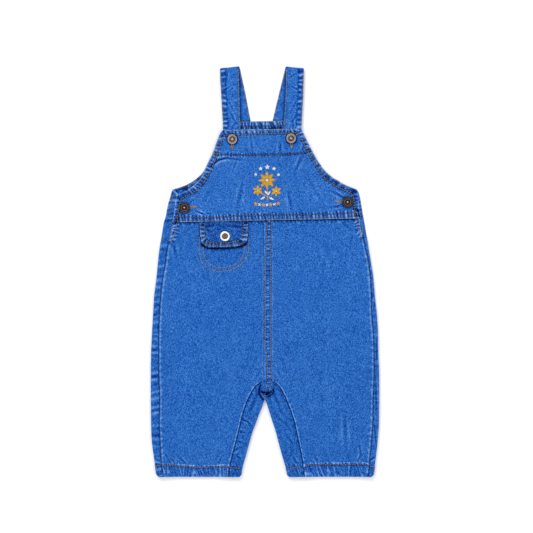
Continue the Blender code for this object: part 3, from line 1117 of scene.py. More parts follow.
def sewn(name: str, seams: Sequence[Seam], surface: Surface) -> None:
    """Sews seams onto a piece, with one object for each colour of thread.

    Args:
        name: the piece's name.
        seams: its seams.
        surface: gives the piece's points.
    """
    for thread in Threads:
        strands = Strands()
        for seam in seams:
            if seam.thread is thread:
                seam.lay(strands, surface)
        if strands.parts:
            strands.made(f"{name}_{thread.name.lower()}_stitches", thread)


@dataclass
class Panel:
    """A piece that lies flat, as a dense closed wall between an outer and an inner side."""

    name: str
    node: str = ""
    columns: int = 60
    flat: tuple[float, float] = (0.1, 0.1)
    rests_on: tuple[str, ...] = ()
    finish: Denim = BLUE_DENIM
    slot: str = "denim"
    edge_reach: float = 10.5
    # How pale the rubbed edges are; below 0 this paints shade along the edges instead
    edge_wear_and_shade: float = 0.8
    edge_width: float = 0.6
    curves: tuple[Curve, ...] = ()
    seams: Sequence[Seam] = ()
    creases: Sequence[Fold] = ()
    softness: Sequence[Fold] = ()

    EDGE_COLUMNS = (0, 0.12, 0.35, 0.7, 1.1, 1.6)
    STRETCHES = ()

    def edge(self, number: int, level: Array) -> Array:
        """The x of the left edge, which is number 0, or of the right one."""
        return self.curves[number].at(level)

    def under(self, x: Array, level: Array) -> Array:
        """The height of the inner side."""
        return 0 * x + 0 * level

    def top(self, x: Array, level: Array) -> Array:
        """The height of the smooth outer side."""
        return self.under(x, level) + CLOTH

    def relief(self, x: Array, level: Array) -> Array:
        """What creases and seams add to the outer side.

        Args:
            x: the points' x.
            level: their level.

        Returns:
            The added height.
        """
        total = creases_over(self.creases, x, level)
        for seam in self.seams:
            if seam.puckers:
                total += seam.puckers.over(*seam.line.near(x, level, seam.reach))
        return total - self._marked("groove", x, level)

    def shade(self, x: Array, level: Array) -> Array:
        """How much paler or deeper the cloth is than its relief makes it: here, the painted shade along the
        seams.
        """
        return -self._marked("tone", x, level)

    def _marked(self, kind: str, x: Array, level: Array) -> Array:
        """The strongest mark that any seam leaves.

        Args:
            kind: groove, the sunken line, or tone, the painted shade along it.
            x: the points' x.
            level: their level.

        Returns:
            The mark's depth at each point.
        """
        total = np.zeros(x.shape)
        for seam in self.seams:
            depth, width = getattr(seam, kind)
            if depth:
                total = np.maximum(total, depth * seam.line.closeness(x, level, width))
        return total

    def side_gap(self, x: Array, level: Array) -> Array:
        """How far a point is from the nearer side edge."""
        return np.minimum(*(curve.beside(x, level) for curve in self.curves))

    def _slant(self, number: int, level: Array) -> Array:
        """How long an edge is for each millimetre of level."""
        change = self.edge(number, level + SLOPE_REACH) - self.edge(number, level - SLOPE_REACH)
        return np.hypot(1, np.minimum(np.abs(change / (2 * SLOPE_REACH)), STEEPEST))

    def edge_gap(self, x: Array, level: Array) -> Array:
        """How far a point is from the nearest edge.

        Args:
            x: the point's x.
            level: its level.

        Returns:
            The distance.
        """
        top, bottom = spread(*self.STRETCHES)[[0, -1]]
        beside = [np.abs(x - self.edge(number, level)) / self._slant(number, level) for number in (0, 1)]
        return np.minimum.reduce([*beside, np.abs(top - level), np.abs(level - bottom)])

    def surface(self, x: Array, level: Array, lift: float = STITCH_LIFT) -> Array:
        """The points of the outer side, with its relief and its rounded edges.

        Args:
            x: the points' x.
            level: their level.
            lift: how far they stand off the cloth.

        Returns:
            The points.
        """
        low, smooth = self.under(x, level), self.top(x, level)
        gap = self.edge_gap(x, level)
        part = np.clip(gap / 0.7, 0, 1)
        rounded = 0.35 + 0.65 * np.sqrt(np.clip(1 - (1 - part) ** 2, 0, 1))
        uneven = self.relief(x, level) + folds_over(self.softness, x, level)
        height = low + (smooth - low) * rounded + uneven * soft_step(-0.4, 1.2, gap)
        return np.stack([x, lie(x, level), height + lift], axis=-1)

    def places(self) -> tuple[Array, Array]:
        """Works out where the piece's points are.

        Returns:
            Their x and level, rows by columns, closer together along the left and right edges.
        """
        level = spread(*self.STRETCHES)
        inset = np.concatenate([self.EDGE_COLUMNS, np.arange(2.2, self.edge_reach, 0.75)])
        first = self.edge(0, level)[:, None] + inset * self._slant(0, level)[:, None]
        last = self.edge(1, level)[:, None] - inset[::-1] * self._slant(1, level)[:, None]
        shares = np.linspace(0, 1, self.columns + 2)[1:-1]
        between = first[:, -1:] + (last[:, :1] - first[:, -1:]) * shares
        x = np.hstack([first, between, last])
        return x, np.broadcast_to(level[:, None], x.shape)

    def wear(self, x: Array, level: Array) -> Array:
        """How rubbed and how shaded the cloth is: pale on ridges, as rubbed wear and painted highlight, and
        on rubbed edges, and painted shade in troughs.

        Args:
            x: the points' x.
            level: their level.

        Returns:
            The wear and painted shade at each point.
        """
        # Rubbed pale edges; where the edge value is below 0 this paints shade along the edges instead
        rubbed = np.exp(-self.edge_gap(x, level) / self.edge_width) * self.edge_wear_and_shade
        rubbed *= 0.75 + 0.6 * mottle(x, level, 3.2, 7)
        # Ridges paler and troughs deeper, as rubbed wear and painted highlight and shade of the relief;
        # shade() adds the piece's pale lines and painted shade
        uneven = self.relief(x, level) * WEAR_AND_SHADE_PER_MM + folds_over(self.softness, x, level) * 0.35
        return np.clip(np.clip(uneven, -1.7, 1.2) + rubbed + self.shade(x, level), DEEPEST, 1.9)

    def area(self) -> float:
        """The flat area of the piece, in square metres."""
        level = spread(*self.STRETCHES)
        return float(-np.trapz(self.edge(1, level) - self.edge(0, level), level)) * MM * MM

    def build(self) -> "Panel":
        """Makes the piece and sews it.

        Returns:
            The panel itself.
        """
        x, level = self.places()
        mesh = PieceMesh()
        inside = np.stack([x, lie(x, level), self.under(x, level) + 0 * x], axis=-1)
        mesh.wall(mesh.grid(self.surface(x, level, 0.0), self.wear(x, level)), mesh.grid(inside, INSIDE_SHADE))
        item = mesh.made(self.name, self.finish)
        put_on(item, self.node)
        self.area()
        sewn(self.name, self.seams, self.surface)
        return self


def bib_rest(level: Numbers) -> Array:
    """The height of the front bib's underside: up over the waist lap, and up over the strap ends.

    Args:
        level: where to read it.

    Returns:
        The height.
    """
    over_lap = 1 - soft_step(WAIST + WAIST_LAP + 0.8, WAIST + 28, level)
    over_straps = soft_step(122.0, 147.5, level)
    return FRONT_REST + (LAP_REST - FRONT_REST) * over_lap + (COVER_REST - FRONT_REST) * over_straps


@dataclass
class FrontBib(Panel):
    """The front's upper piece, with its hems, its facing's stitch row and the two rows along the waist."""

    edge_wear_and_shade: float = 1.25
    edge_width: float = 0.8

    STRETCHES = (
        (BIB_TOP, BIB_TOP - 0.4, 0.2), (BIB_TOP - 0.4, 160.0, 0.8), (160, 144, 1.2),
        (144, 137, 0.8), (137, 106, 1.2), (106, 90, 0.7), (90, 72, 1.2),
        (72.0, WAIST + 0.4, 0.7), (WAIST + 0.4, WAIST, 0.2),
    )

    def __post_init__(self) -> None:
        """Sets the edges, the seams and the creases."""
        self.curves = tuple(side.curve(FRONT_BIB) for side in Side)
        heights = (166.8, 160, 150, 142, 131, 122, 116, 110, 105, 100, 97)
        groove, tone = Mark(0.2, 0.9), Mark(0.6, 0.9)
        top_row = Line((-50, 162.7), (-40.8, 164.4), (-15.6, 164.6), (9.6, 164.6), (30, 165), (38.4, 165.4))
        left_row = Line(
            (-50, 162.7), (-57.1, 141.1), (-62, 129.1), (-64.6, 123.2), (-71.9, 110.3), (-79.2, 101.9),
            (-84.1, 97.8), (-94, 92.5), (-101.3, 88.3), (-102.5, 83.4), (-104, 71.8), (-104.9, 65.7),
            (-105.6, 62.2),
        )
        right_row = Line(
            (38.4, 165.4), (43.4, 158), (51.2, 142), (57.6, 130.6), (63.2, 121.6), (68, 114.6),
            (72.4, 109.6), (78, 104.7), (92, 96.9), (102.5, 91.3), (105.6, 88.9), (106.4, 82.8),
            (107, 70.5), (108.6, 62.2),
        )
        facing_row = Line(
            (-61.6, 141.6), (-45, 140.6), (-20, 140), (27.6, 139.7), (45, 140.6), (54, 142.4)
        )
        waist_upper = Line(
            (-108.2, 67.3), (-88, 66.6), (-70.8, 65.6), (-42, 66.4), (-31.8, 67.3), (20, 67),
            (78, 67.1), (96, 67.6), (112, 69.2),
        )
        waist_lower = Line(
            (-109.3, 63.4), (-80, 62.7), (-53, 62.4), (-26, 62.6), (6, 62.5), (78, 62.8),
            (96, 63), (113, 63.9),
        )
        top_edge = Line((-48.0, BIB_TOP - 1.3), (-20.0, BIB_TOP - 1.2), (41.0, BIB_TOP - 1.3))
        brown = Threads.BROWN
        self.seams = [
            Seam(top_row, puckers=Puckers(4, 0.40, 2.4, 16, 0.5, 13), groove=groove, tone=tone),
            Seam(left_row, puckers=Puckers(4, 0.54, 16, 2.6, 0.5, 11), groove=groove, tone=tone),
            Seam(right_row, puckers=Puckers(4, 0.54, 2.6, 16, -0.5, 12), groove=groove, tone=tone),
            Seam(self.curves[0].inset(1.3, heights), width=0.8),
            Seam(self.curves[1].inset(-1.3, heights), width=0.8),
            Seam(top_edge, width=0.75),
            Seam(facing_row, brown, puckers=Puckers(3.6, 0.30, 3.2, 3.2, 0.6, 14), groove=groove, tone=tone),
            Seam(waist_upper, brown, 1.1, puckers=Puckers(3.9, 0.54, 16, 4.4, 0.3, 15), groove=groove),
            Seam(waist_lower, brown, 1.2, tone=tone),
        ]
        self.creases = rows_of(
            Fold,
            (-60, 131.4, 6.5, 1.2, 37, 0.34), (-51, 135.7, 6, 1.2, 14, 0.34),
            (-38, 135.6, 10, 1.1, -6, 0.20), (-36, 128, 6, 1.1, 70, 0.12),
            (-76.5, 71.5, 5, 0.9, -24, 0.40), (-68, 70.8, 3, 0.8, -8, 0.24),
            (-88, 86, 6, 1.2, 36, 0.12), (-70, 92, 10, 1.8, 58, 0.08),
            (88, 90, 8, 1.4, -30, 0.18), (84, 76, 7, 1.2, 8, 0.18),
            (60, 96, 14, 2, -62, 0.08), (40, 128, 9, 1.6, 64, 0.16),
            (18, 148, 9, 1.5, 84, 0.12), (-16, 152, 7, 1.3, 97, 0.12),
            (46, 148, 6, 1.1, 70, 0.20), (-30, 92, 14, 2, 80, 0.12),
            (30, 84, 12, 1.8, 100, 0.12),
        )
        self.softness = wrinkles(5, 46, -95, 95, 64, 160)

    def under(self, x: Array, level: Array) -> Array:
        """Over the legs' top, the back and the strap ends."""
        return bib_rest(level) + 0 * x

    def top(self, x: Array, level: Array) -> Array:
        """With the armhole hems, the top hem, the facing and the waist's turned edge.

        Args:
            x: the points' x.
            level: their level.

        Returns:
            The height of the smooth outer side.
        """
        rise = np.maximum.reduce([
            band(self.side_gap(x, level), ARMHOLE_BAND),
            band(BIB_TOP - level, 5.5) + 0 * x,
            band(level - WAIST, 4.6, 0.3) + 0 * x,
        ])
        return bib_rest(level) + CLOTH + rise + 0.25 * soft_step(FACING_LINE - 1.5, FACING_LINE, level)

    def shade(self, x: Array, level: Array) -> Array:
        """A rubbed lower edge, paler armholes, painted shadows round the buttons and painted shade along the
        seams.

        Args:
            x: the points' x.
            level: their level.

        Returns:
            What it adds to the wear and painted shade.
        """
        total = super().shade(x, level) + 1.2 * np.exp(-(level - WAIST) / 0.8) + 0.06
        edge = self.side_gap(x, level)
        worn_edge = 1.6 * np.exp(-edge / 0.5) - 0.35 * (1 - soft_step(6.5, 8.0, edge))
        total += worn_edge * soft_step(120, 112, level)
        # Painted shadow round each button
        for button_x, button_y in BIB_BUTTONS:
            gap = np.hypot(x - button_x, level - level_of(button_x, button_y)) - BUTTON_RADIUS
            total -= 1.5 * np.exp(-((gap / 1.1) ** 2))
        return total


@dataclass
class BackBib(Panel):
    """The back's upper piece, which shows between the straps and beside the front."""

    STRETCHES = (
        (BACK_TOP, BACK_TOP - 0.4, 0.2), (BACK_TOP - 0.4, 166.0, 0.7), (166, 106, 3),
        (106, 90, 0.8), (90.0, BACK_WAIST + GAP / 2, 1.4),
    )

    def __post_init__(self) -> None:
        """Sets the edges and the seams."""
        self.curves = tuple(side.curve(BACK_BIB) for side in Side)
        tone = Mark(0.5)
        side_rows = (
            Line((-106.6, 98.6), (-109.6, 95.4), (-111, 90), (-112.4, 82), (-113.6, 72), (-116.2, 63)),
            Line((104, 95.6), (110.6, 89), (112.2, 80), (113.4, 70), (115, 63)),
        )
        hem_row = Line((-40, 173.6), (-20, 174.1), (10, 174.2), (33, 174.4))
        self.seams = [
            Seam(
                hem_row, Threads.BROWN, 1.1, puckers=Puckers(3.7, 0.56, 5, 16, 0.4, 21),
                groove=Mark(0.2, 0.8), tone=Mark(0.6),
            ),
            Seam(Line((-36, 179), (0, 179.1), (30, 179)), width=0.8),
            Seam(Line((-113, 91), (-107.6, 88.4)), width=0.8),
        ]
        for line, seed in zip(side_rows, (22, 23)):
            puckers = Puckers(4.6, 0.34, 12.0, 12.0, 0.4, seed)
            self.seams.append(Seam(line, width=0.75, puckers=puckers, tone=tone))
        for curve, way, seed, heights in (
            (self.curves[0], 1, 24, (122, 116, 111, 107, 104, 102.4, 100.9)),
            (self.curves[1], -1, 25, (122, 116, 111, 107, 104, 101, 98.6)),
        ):
            puckers = Puckers(3.8, 0.54, 12.0, 12.0, 0.5, seed)
            self.seams.append(Seam(curve.inset(1.2 * way, heights), width=0.75, tone=tone))
            self.seams.append(Seam(curve.inset(5.4 * way, heights), width=0.75, puckers=puckers, tone=tone))
        self.mitre = Line((-111.6, 99.8), (-107.6, 96.2), (-105, 93.2))
        self.softness = wrinkles(8, 20, -70, 70, 70, 165)

    @staticmethod
    def _hem_fold(x: Array, level: Array, width: float) -> Array:
        """The fold under the middle of the top hem, from 0 to 1."""
        return bump_at(x, 13.0, width) * bump_at(level, 171.3, 0.9)

    def top(self, x: Array, level: Array) -> Array:
        """With the top hem and a hem down each side."""
        sides = band(self.side_gap(x, level), 5.0, 0.3) * (1 - soft_step(120, 128, level))
        return CLOTH + np.maximum(band(BACK_TOP - level, BACK_BAND, 0.7) + 0 * x, sides)

    def relief(self, x: Array, level: Array) -> Array:
        """A drawn-up top hem with a fold under it, and puckered sides."""
        return super().relief(x, level) - 0.45 * self._hem_fold(x, level, 9.0)

    def shade(self, x: Array, level: Array) -> Array:
        """Painted shade in the fold under the hem and along the seams, darker beside the side hems, and pale
        along the mitre.

        Args:
            x: the points' x.
            level: their level.

        Returns:
            What it adds to the wear and painted shade.
        """
        # Painted shade in the fold under the top hem
        total = super().shade(x, level) - 1.4 * self._hem_fold(x, level, 8.0)
        inside = 1 - soft_step(6.5, 8.0, self.side_gap(x, level))
        total -= 0.35 * inside * soft_step(125, 118, level) * soft_step(86, 94, level)
        total += 1.8 * self.mitre.closeness(x, level, 0.8)
        return total + 0.3 * mottle(x, level, 3.4, 26)


@dataclass
class FrontLeg(Panel):
    """A front leg: from under the bib to the hem, inside the side, centre and inner-leg seams."""

    side: Side = Side.LEFT

    STRETCHES = (
        (WAIST + WAIST_LAP, WAIST + 0.5, 3.0), (WAIST + 0.5, 55.0, 0.6), (55, 34, 1.2),
        (34, 27, 0.55), (27, -128, 1.5), (-128, -130.4, 0.8), (-130.5, -132.3, 0.3),
        (-132.4, -140, 0.9), (-140, -224, 1.5), (-224, -238, 0.7), (-238.0, HEM + 0.6, 1.0),
        (HEM + 0.6, HEM, 0.2),
    )
    SIDE_HEIGHTS = (36, 22, 10, -8, -29, -52, -77, -99, -122, -150, -180, -204, -226, -244.5)
    INNER_HEIGHTS = (-136, -141, -148, -155, -164, -172, -180, -193, -207, -221, -236, -244.5)

    def __post_init__(self) -> None:
        """Sets the edges, and the seams that both legs have."""
        self.way = self.side.outward
        self.outer = self.side.curve(SIDES, "seam_")
        self.inner = self.side.curve(INNER_LEGS, "seam_")
        if self.side is Side.LEFT:
            own = self._left_seams()
            self.softness = wrinkles(31, 110, -122, -6, -228, 52)
        else:
            own = self._right_seams()
            self.softness = wrinkles(32, 110, 6, 122, -228, 52)
        self.side_row = Line(*[(self.outer.at(level) - self.way * 1.0, level) for level in self.SIDE_HEIGHTS])
        inner_row = Line(*[(self.inner.at(level) + self.way * 0.9, level) for level in self.INNER_HEIGHTS])
        waist_line = Line((-125, 61.3), (125, 61.3))
        self.seams = [
            Seam(self.hem_row, Threads.ORANGE, 1.1, groove=Mark(0.2, 0.9), tone=Mark(0.7)),
            Seam(self.side_row, width=0.45, stitch=1.9, space=2.1),
            Seam(inner_row, Threads.BLUE, 0.4, 1.8, 1.8, Puckers(7, 0.12, 3, 4, 0.4, 43), 6.0),
            Seam(waist_line, None, puckers=Puckers(4.8, 0.26, 6.5, 0.5, 0.7, 48), reach=8.0),
            *own,
        ]

    def _left_seams(self) -> list[Seam]:
        """Sets the left leg's hem row, flap edge and creases.

        Returns:
            Its placket's and its pocket's seams.
        """
        self.hem_row = Line(
            (-124, -232.2), (-110, -232.7), (-75, -235), (-46.5, -233.8), (-41, -234.3)
        )
        self.creases = rows_of(
            Fold,
            (-108, 26, 9, 1.6, 100, 0.14), (-92, 52, 8, 1.3, 30, 0.07),
            (-99, 34, 6, 1.2, 70, 0.08), (-9, -124, 7, 1.3, 58, 0.10),
            (-14, -112, 9, 1.6, 66, 0.06), (-100, -225, 6, 1.2, 132, 0.12),
            (-110, -227, 4.5, 1, 128, 0.16), (-117, -222, 5, 1, 118, 0.12),
            (-54, -226, 5, 1.1, 66, 0.08),
        )
        bottom = POCKET_FLAP[-1]
        heights = (58, 50, 44, 40, 36, 33, 31, 30.2)
        left, right = (side.curve(POCKET_FLAP) for side in Side)
        self.flap_edge = Line(
            *[(float(left.at(at)), at) for at in heights],
            *[(x, bottom.y) for x in np.linspace(bottom.left + 2, bottom.right - 2, 4)],
            *[(float(right.at(at)), at) for at in heights[::-1]],
        )
        self.pocket_rows = (
            Line(
                (-78.5, 43.6), (-78.7, 34), (-78.7, 25), (-76, 13.3), (-69.8, 4.7), (-60.6, 0.7),
                (-52.1, -0.1), (-41, 2), (-28.8, 8.4), (-22.7, 16.3), (-19.6, 26.2), (-19.4, 43),
            ),
            Line(
                (-74, 30.6), (-73.8, 25), (-71.6, 15.7), (-66.1, 9), (-60.6, 6), (-53.3, 4.7),
                (-41, 6.6), (-31.8, 10.9), (-26.9, 17.6), (-24.8, 26.2), (-25.2, 31.8),
            ),
        )
        placket = Line((-105.6, 61), (-106.4, 55.4), (-108, 47.4), (-110.4, 40.6), (-114.2, 38.6))
        return [
            Seam(placket, puckers=Puckers(4.4, 0.40, 5, 5, 0.4, 47)),
            *[
                Seam(line, width=0.95, puckers=Puckers(5.5, 0.12, 2.4, 2.4, 0.5, seed), reach=4.0)
                for line, seed in zip(self.pocket_rows, (45, 46))
            ],
            Seam(Line((-114.2, 46.8), (-107.6, 46.2)), stitch=1.5, space=0.4),
            Seam(Line((-110.4, 60), (-112.6, 50), (-114.4, 41)), width=0.8),
        ]

    def _right_seams(self) -> list[Seam]:
        """Sets the right leg's hem row and creases.

        Returns:
            Its placket's seams, and the two rows of the centre seam.
        """
        self.hem_row = Line((48, -233.6), (52, -231.9), (80, -231.5), (119, -231.2), (124, -232.6))
        self.creases = rows_of(
            Fold,
            (103, 34, 8, 1.4, 82, 0.05), (98, 52, 6, 1.3, 140, 0.10),
            (17, -122, 7, 1.3, 124, 0.10), (22, -110, 9, 1.6, 112, 0.06),
            (114, -214, 9, 1.2, 96, 0.12), (112, -225, 5, 1.1, 60, 0.14),
            (62, -226, 5, 1.2, 118, 0.16), (96, -190, 18, 2, 92, 0.12),
        )
        placket = Line((108.9, 61), (110.4, 52.1), (112.2, 46.5), (114.6, 41.5), (116, 39.9))
        centre_rows = (
            Line((2.6, 60), (1, 6), (0.5, -40), (0.5, -86), (1.6, -94), (2.9, -118), (2.9, -130.8)),
            Line((7.9, 60), (6.7, 17), (6.2, -30), (6.5, -94), (7.7, -118), (7.7, -130.8)),
        )
        rungs = Puckers(4.4, 0.36, 0.6, 8.4, 0.2, 44)
        return [
            Seam(placket, puckers=Puckers(4.4, 0.40, 5, 5, 0.4, 47)),
            *[
                Seam(line, puckers=puckers, groove=Mark(0.18, 0.7), tone=Mark(0.45))
                for line, puckers in zip(centre_rows, (rungs, None))
            ],
            Seam(Line((111.4, 48.3), (116.6, 48)), stitch=1.5, space=0.4),
            Seam(Line((115.2, 60), (116.4, 50), (117.2, 41)), width=0.8),
        ]

    def edge(self, number: int, level: Array) -> Array:
        """Finds the side seam, or the centre seam and below it the inner-leg seam.

        Args:
            number: 0 for the left edge, and 1 for the right one.
            level: the levels.

        Returns:
            The edge's x.
        """
        clear = self.way * GAP / 2
        if (number == 0) == (self.side is Side.LEFT):
            return self.outer.at(level) - clear
        least = 3.8 if self.side is Side.LEFT else 6.4
        inner = self.way * np.maximum(self.way * (self.inner.at(level) + clear), least)
        step = soft_step(CROTCH_SEAM, CROTCH_SEAM - 1.0, level)
        return (CENTRE_SEAM + clear) * (1 - step) + inner * step

    def under(self, x: Array, level: Array) -> Array:
        """Low in the middle, higher where it meets the turned back cloth.

        Args:
            x: the points' x.
            level: their level.

        Returns:
            The height of the inner side.
        """
        near_side = 1 - soft_step(0, 17, self.outer.beside(x, level))
        lift = near_side * (1 - soft_step(PLACKET_END, 52, level))
        near_inner = 1 - soft_step(0, 17, self.inner.beside(x, level))
        lift = np.maximum(lift, near_inner * (1 - soft_step(CROTCH, CROTCH + 20, level)))
        calm = soft_step(WAIST - 6, WAIST - 30, level)
        soft = folds_over(LEG_FOLDS, x, level) * (1 - lift) * calm
        return FRONT_REST + (SEAM_REST - FRONT_REST) * lift + soft

    def top(self, x: Array, level: Array) -> Array:
        """With the side seam, the felled centre seam, the pocket bag and the hem.

        Args:
            x: the points' x.
            level: their level.

        Returns:
            The height of the smooth outer side.
        """
        if self.side is Side.RIGHT:
            own = band(np.abs(x - CENTRE_SEAM), CENTRE_BAND) * (level > CROTCH)
        else:
            gap = self.pocket_rows[0].near(x, level, 30.0)[0]
            own = 0.22 * soft_step(-0.4, 0.9, gap) * (np.abs(x + 49) < 31) * (level > -2)
        side = band(self.outer.beside(x, level), SIDE_BAND, 0.4)
        hem = band(level - HEM, HEM_LINE - HEM) + 0 * x
        return self.under(x, level) + CLOTH + np.maximum.reduce([side, hem, own])

    def relief(self, x: Array, level: Array) -> Array:
        """Puckered seams and hem, creases at the crotch and the hem, and faint wrinkles.

        Args:
            x: the points' x.
            level: their level.

        Returns:
            The added height.
        """
        total = super().relief(x, level)
        gap, along = self.hem_row.near(x, level, 16.0)
        hem = Puckers(3.2, 0.30, 30, 4.4, 0.4, 41).over(gap, along)
        total += hem * (0.9 + 0.4 * mottle(x, level, 3.4, 58)) + 0.06 * mottle(x, level, 2.0, 59) * (gap < 1)
        side_gap, side_along = self.side_row.near(x, level, 9.0)
        return total + Puckers(7.5, 0.16, 6, 6, 0.5, 42).over(side_gap * -self.way, side_along)

    def shade(self, x: Array, level: Array) -> Array:
        """Pale lines where the seams are rubbed, broken up along their length, and painted shadow along the
        seam edges, round the flap, at the hem's edge and under the bib's edge.

        Args:
            x: the points' x.
            level: their level.

        Returns:
            What it adds to the wear and painted shade.
        """
        broken = 0.5 + 0.5 * np.sin(level * 1.7 + 2.0 * np.sin(level * 0.37)) * np.sin(level * 0.53)
        outer = self.outer.beside(x, level)
        inner = self.inner.beside(x, level) + FAR * (level > CROTCH)
        centre = np.abs(x - CENTRE_SEAM) + FAR * (level < CROTCH_SEAM)
        total = super().shade(x, level)
        # Pale rubbed lines beside the side seam and the inner-leg seam, and painted shadow along their edges
        total += (0.2 + 1.1 * broken) * bump_at(outer, 2.0, 0.8) - 1.5 * np.exp(-outer / 0.5)
        total += (0.6 + 1.1 * broken) * bump_at(inner, 1.6, 0.5) - 2.6 * np.exp(-inner / 0.55)
        if self.side is Side.RIGHT:
            total += 0.5 * bump_at(centre, 1.0, 0.5) + 0.35 * bump_at(centre, 10.0, 0.9)
        else:
            # A pale rubbed line beside the centre seam, painted shadow in its step, and painted shadow round
            # the flap
            total += 0.55 * bump_at(centre, 1.2, 0.5) * soft_step(40, 10, level) - 1.6 * np.exp(-centre / 0.5)
            total -= self._pocket_shade(x, level)
        hem = self.hem_row.near(x, level, 4.0)[0]
        total += (0.8 + 1.2 * mottle(x, level, 2.2, 60)) * bump_at(hem, 1.9, 0.8) - 0.12 * (hem < 0)
        total -= hem_edge_shade(x, level)
        # Painted shadow under the bib's lower edge
        waist_shadow = 2.6 + 1.2 * mottle(x, 0 * level, 7.0, 51)
        return total - waist_shadow * np.exp(-np.abs(WAIST - level) / 1.0)

    def _pocket_shade(self, x: Array, level: Array) -> Array:
        """The painted shadow round the flap, and how much deeper the cloth is over the pocket bag.

        Args:
            x: the points' x.
            level: their level.

        Returns:
            What it takes from the wear and painted shade.
        """
        gap = self.flap_edge.near(x, level, 5.0)[0]
        low = soft_step(38, 32, level)
        # Painted shadow round the flap, widest and darkest under its lower edge
        flap_shadow = (1.0 + 2.4 * low) * np.exp(-((gap / (1.6 + 0.8 * low)) ** 2)) * (gap < 0.2)
        bag = soft_step(-0.4, 0.9, self.pocket_rows[1].near(x, level, 25.0)[0])
        return flap_shadow + 0.16 * bag * (np.abs(x + 49) < 26) * soft_step(4, 18, level)


def hem_edge_shade(x: Array, level: Array) -> Array:
    """The painted shade along the hem's very edge."""
    return 0.9 * (0.6 + 0.5 * mottle(x, level, 5.0, 49)) * np.exp(-(level - HEM) / 0.4)


@dataclass
class PocketFlap(Panel):
    """The darker flap on the left leg, of double cloth with two rows of stitches."""

    carrier: Optional[FrontLeg] = None

    STRETCHES = ((61, 44, 1), (44, 33, 0.7), (33, 30.4, 0.35), (30.4, POCKET_FLAP[-1].y, 0.17))

    def __post_init__(self) -> None:
        """Sets the edges, the two rows and the creases."""
        self.curves = tuple(side.curve(POCKET_FLAP) for side in Side)
        outer_row = Line(
            (-76.9, 60), (-76, 42), (-74.2, 36.4), (-69.6, 32.8), (-60, 31.7), (-45, 31.6),
            (-31, 33.2), (-25.2, 35.4), (-22.6, 41), (-21.8, 60),
        )
        inner_row = Line(
            (-72.8, 60), (-72.2, 44.5), (-69.8, 38.4), (-64, 35.6), (-56, 35.2), (-44, 35.4),
            (-33, 37.4), (-28, 40.4), (-26.4, 46), (-25.8, 60),
        )
        groove = Mark(0.14, 0.8)
        puckers = Puckers(3.9, 0.60, 14, 1.8, 0.3, 61)
        self.seams = [
            Seam(outer_row, width=0.8, groove=groove),
            Seam(inner_row, width=0.8, puckers=puckers, groove=groove, tone=Mark(0.4)),
        ]
        self.creases = rows_of(
            Fold,
            (-66, 56, 7, 1.4, 8, 0.14), (-36, 55, 8, 1.4, -6, 0.14),
            (-58, 47, 6, 1.4, 52, 0.08), (-38, 44, 6, 1.4, 118, 0.08),
        )
        self.softness = wrinkles(9, 16, -76, -22, 32, 60)

    def under(self, x: Array, level: Array) -> Array:
        """On the leg."""
        return self.carrier.top(x, level) + GAP

    def top(self, x: Array, level: Array) -> Array:
        """Double cloth, thicker at its turned edge."""
        edge = np.minimum(self.side_gap(x, level), level - POCKET_FLAP[-1].y)
        return self.under(x, level) + DOUBLE_CLOTH - GAP + band(edge, 4.6, 0.35)

    def shade(self, x: Array, level: Array) -> Array:
        """Painted shade under the bib's edge and along the inner row, darker towards the top, and a little
        paler over the turned edge.
        """
        total = super().shade(x, level) - 1.5 * np.exp(-(WAIST - level) / 1.8)
        return total - 0.25 * soft_step(46, 58, level) + 0.25 * soft_step(5.5, 4.0, self.edge_gap(x, level))


@dataclass
class CrotchSeam(Panel):
    """The end of the back's felled seam, which comes up between the legs and dives into the fold there."""

    STRETCHES = (
        (CROTCH_SEAM - 0.5, CROTCH_SEAM - 0.9, 0.2), (CROTCH_SEAM - 0.9, -145.2, 0.6), (-145.2, -145.6, 0.2),
    )

    def __post_init__(self) -> None:
        """Sets the edges and the two rows."""
        self.curves = (
            Curve([(-130.6, -3.2), (-136, -5), (-141, -5.4), (-145.6, -3.8)]),
            Curve([(-130.6, 11), (-136, 10.4), (-141, 8.8), (-145.6, 6.4)]),
        )
        lines = (
            Line((2.9, -131.2), (2.7, -136), (1.6, -139.6), (0.3, -143.8)),
            Line((7.7, -131.2), (7.4, -136.5), (6, -140.4), (4.3, -144)),
        )
        rungs = Puckers(3.8, 0.3, 2, 6, 0.2, 71)
        self.seams = [
            Seam(line, stitch=2.2, space=0.6, puckers=puckers, reach=8.0, tone=Mark(0.4))
            for line, puckers in zip(lines, (rungs, None))
        ]

    def under(self, x: Array, level: Array) -> Array:
        """Over the turned legs, and down at the end."""
        return 3.0 - 0.9 * soft_step(-139.0, -145.6, level) + 0 * x

    def top(self, x: Array, level: Array) -> Array:
        """A raised band between its two rows."""
        between = band(np.abs(x - 5.4 + 0.28 * np.maximum(-134 - level, 0)), 3.6, 0.4)
        return self.under(x, level) + 0.9 + between

    def shade(self, x: Array, level: Array) -> Array:
        """Painted shade towards the fold, beside its left edge and along its rows."""
        total = super().shade(x, level) - 2.3 * soft_step(-142.2, -145.0, level)
        return total - 0.5 * soft_step(-134.0, -139.0, level) * bump_at(x, -4.2, 1.4)


# The deep folds round the end of the crotch seam, which sink the turned cloth and get painted black shadow:
# each one's line, width and depth
CROTCH_FOLDS = (
    (Line((-5, -136.6), (-6.7, -140.4), (-7.2, -144), (-5.4, -149.4), (-1.8, -153.6)), 0.95, 0.9),
    (Line((8.2, -139.8), (10.5, -142.6), (9.2, -146.4), (6, -148.8), (2.2, -150.4)), 0.85, 0.8),
    (Line((-3.8, -143.2), (-1.2, -144.6), (1.6, -145.3), (4.6, -144.8)), 1.4, 1.5),
    (Line((-0.8, -146), (1.6, -147), (3.8, -146)), 1.1, 1.4),
    (Line((4.8, -144.6), (7, -144.2)), 0.9, 1.0),
)


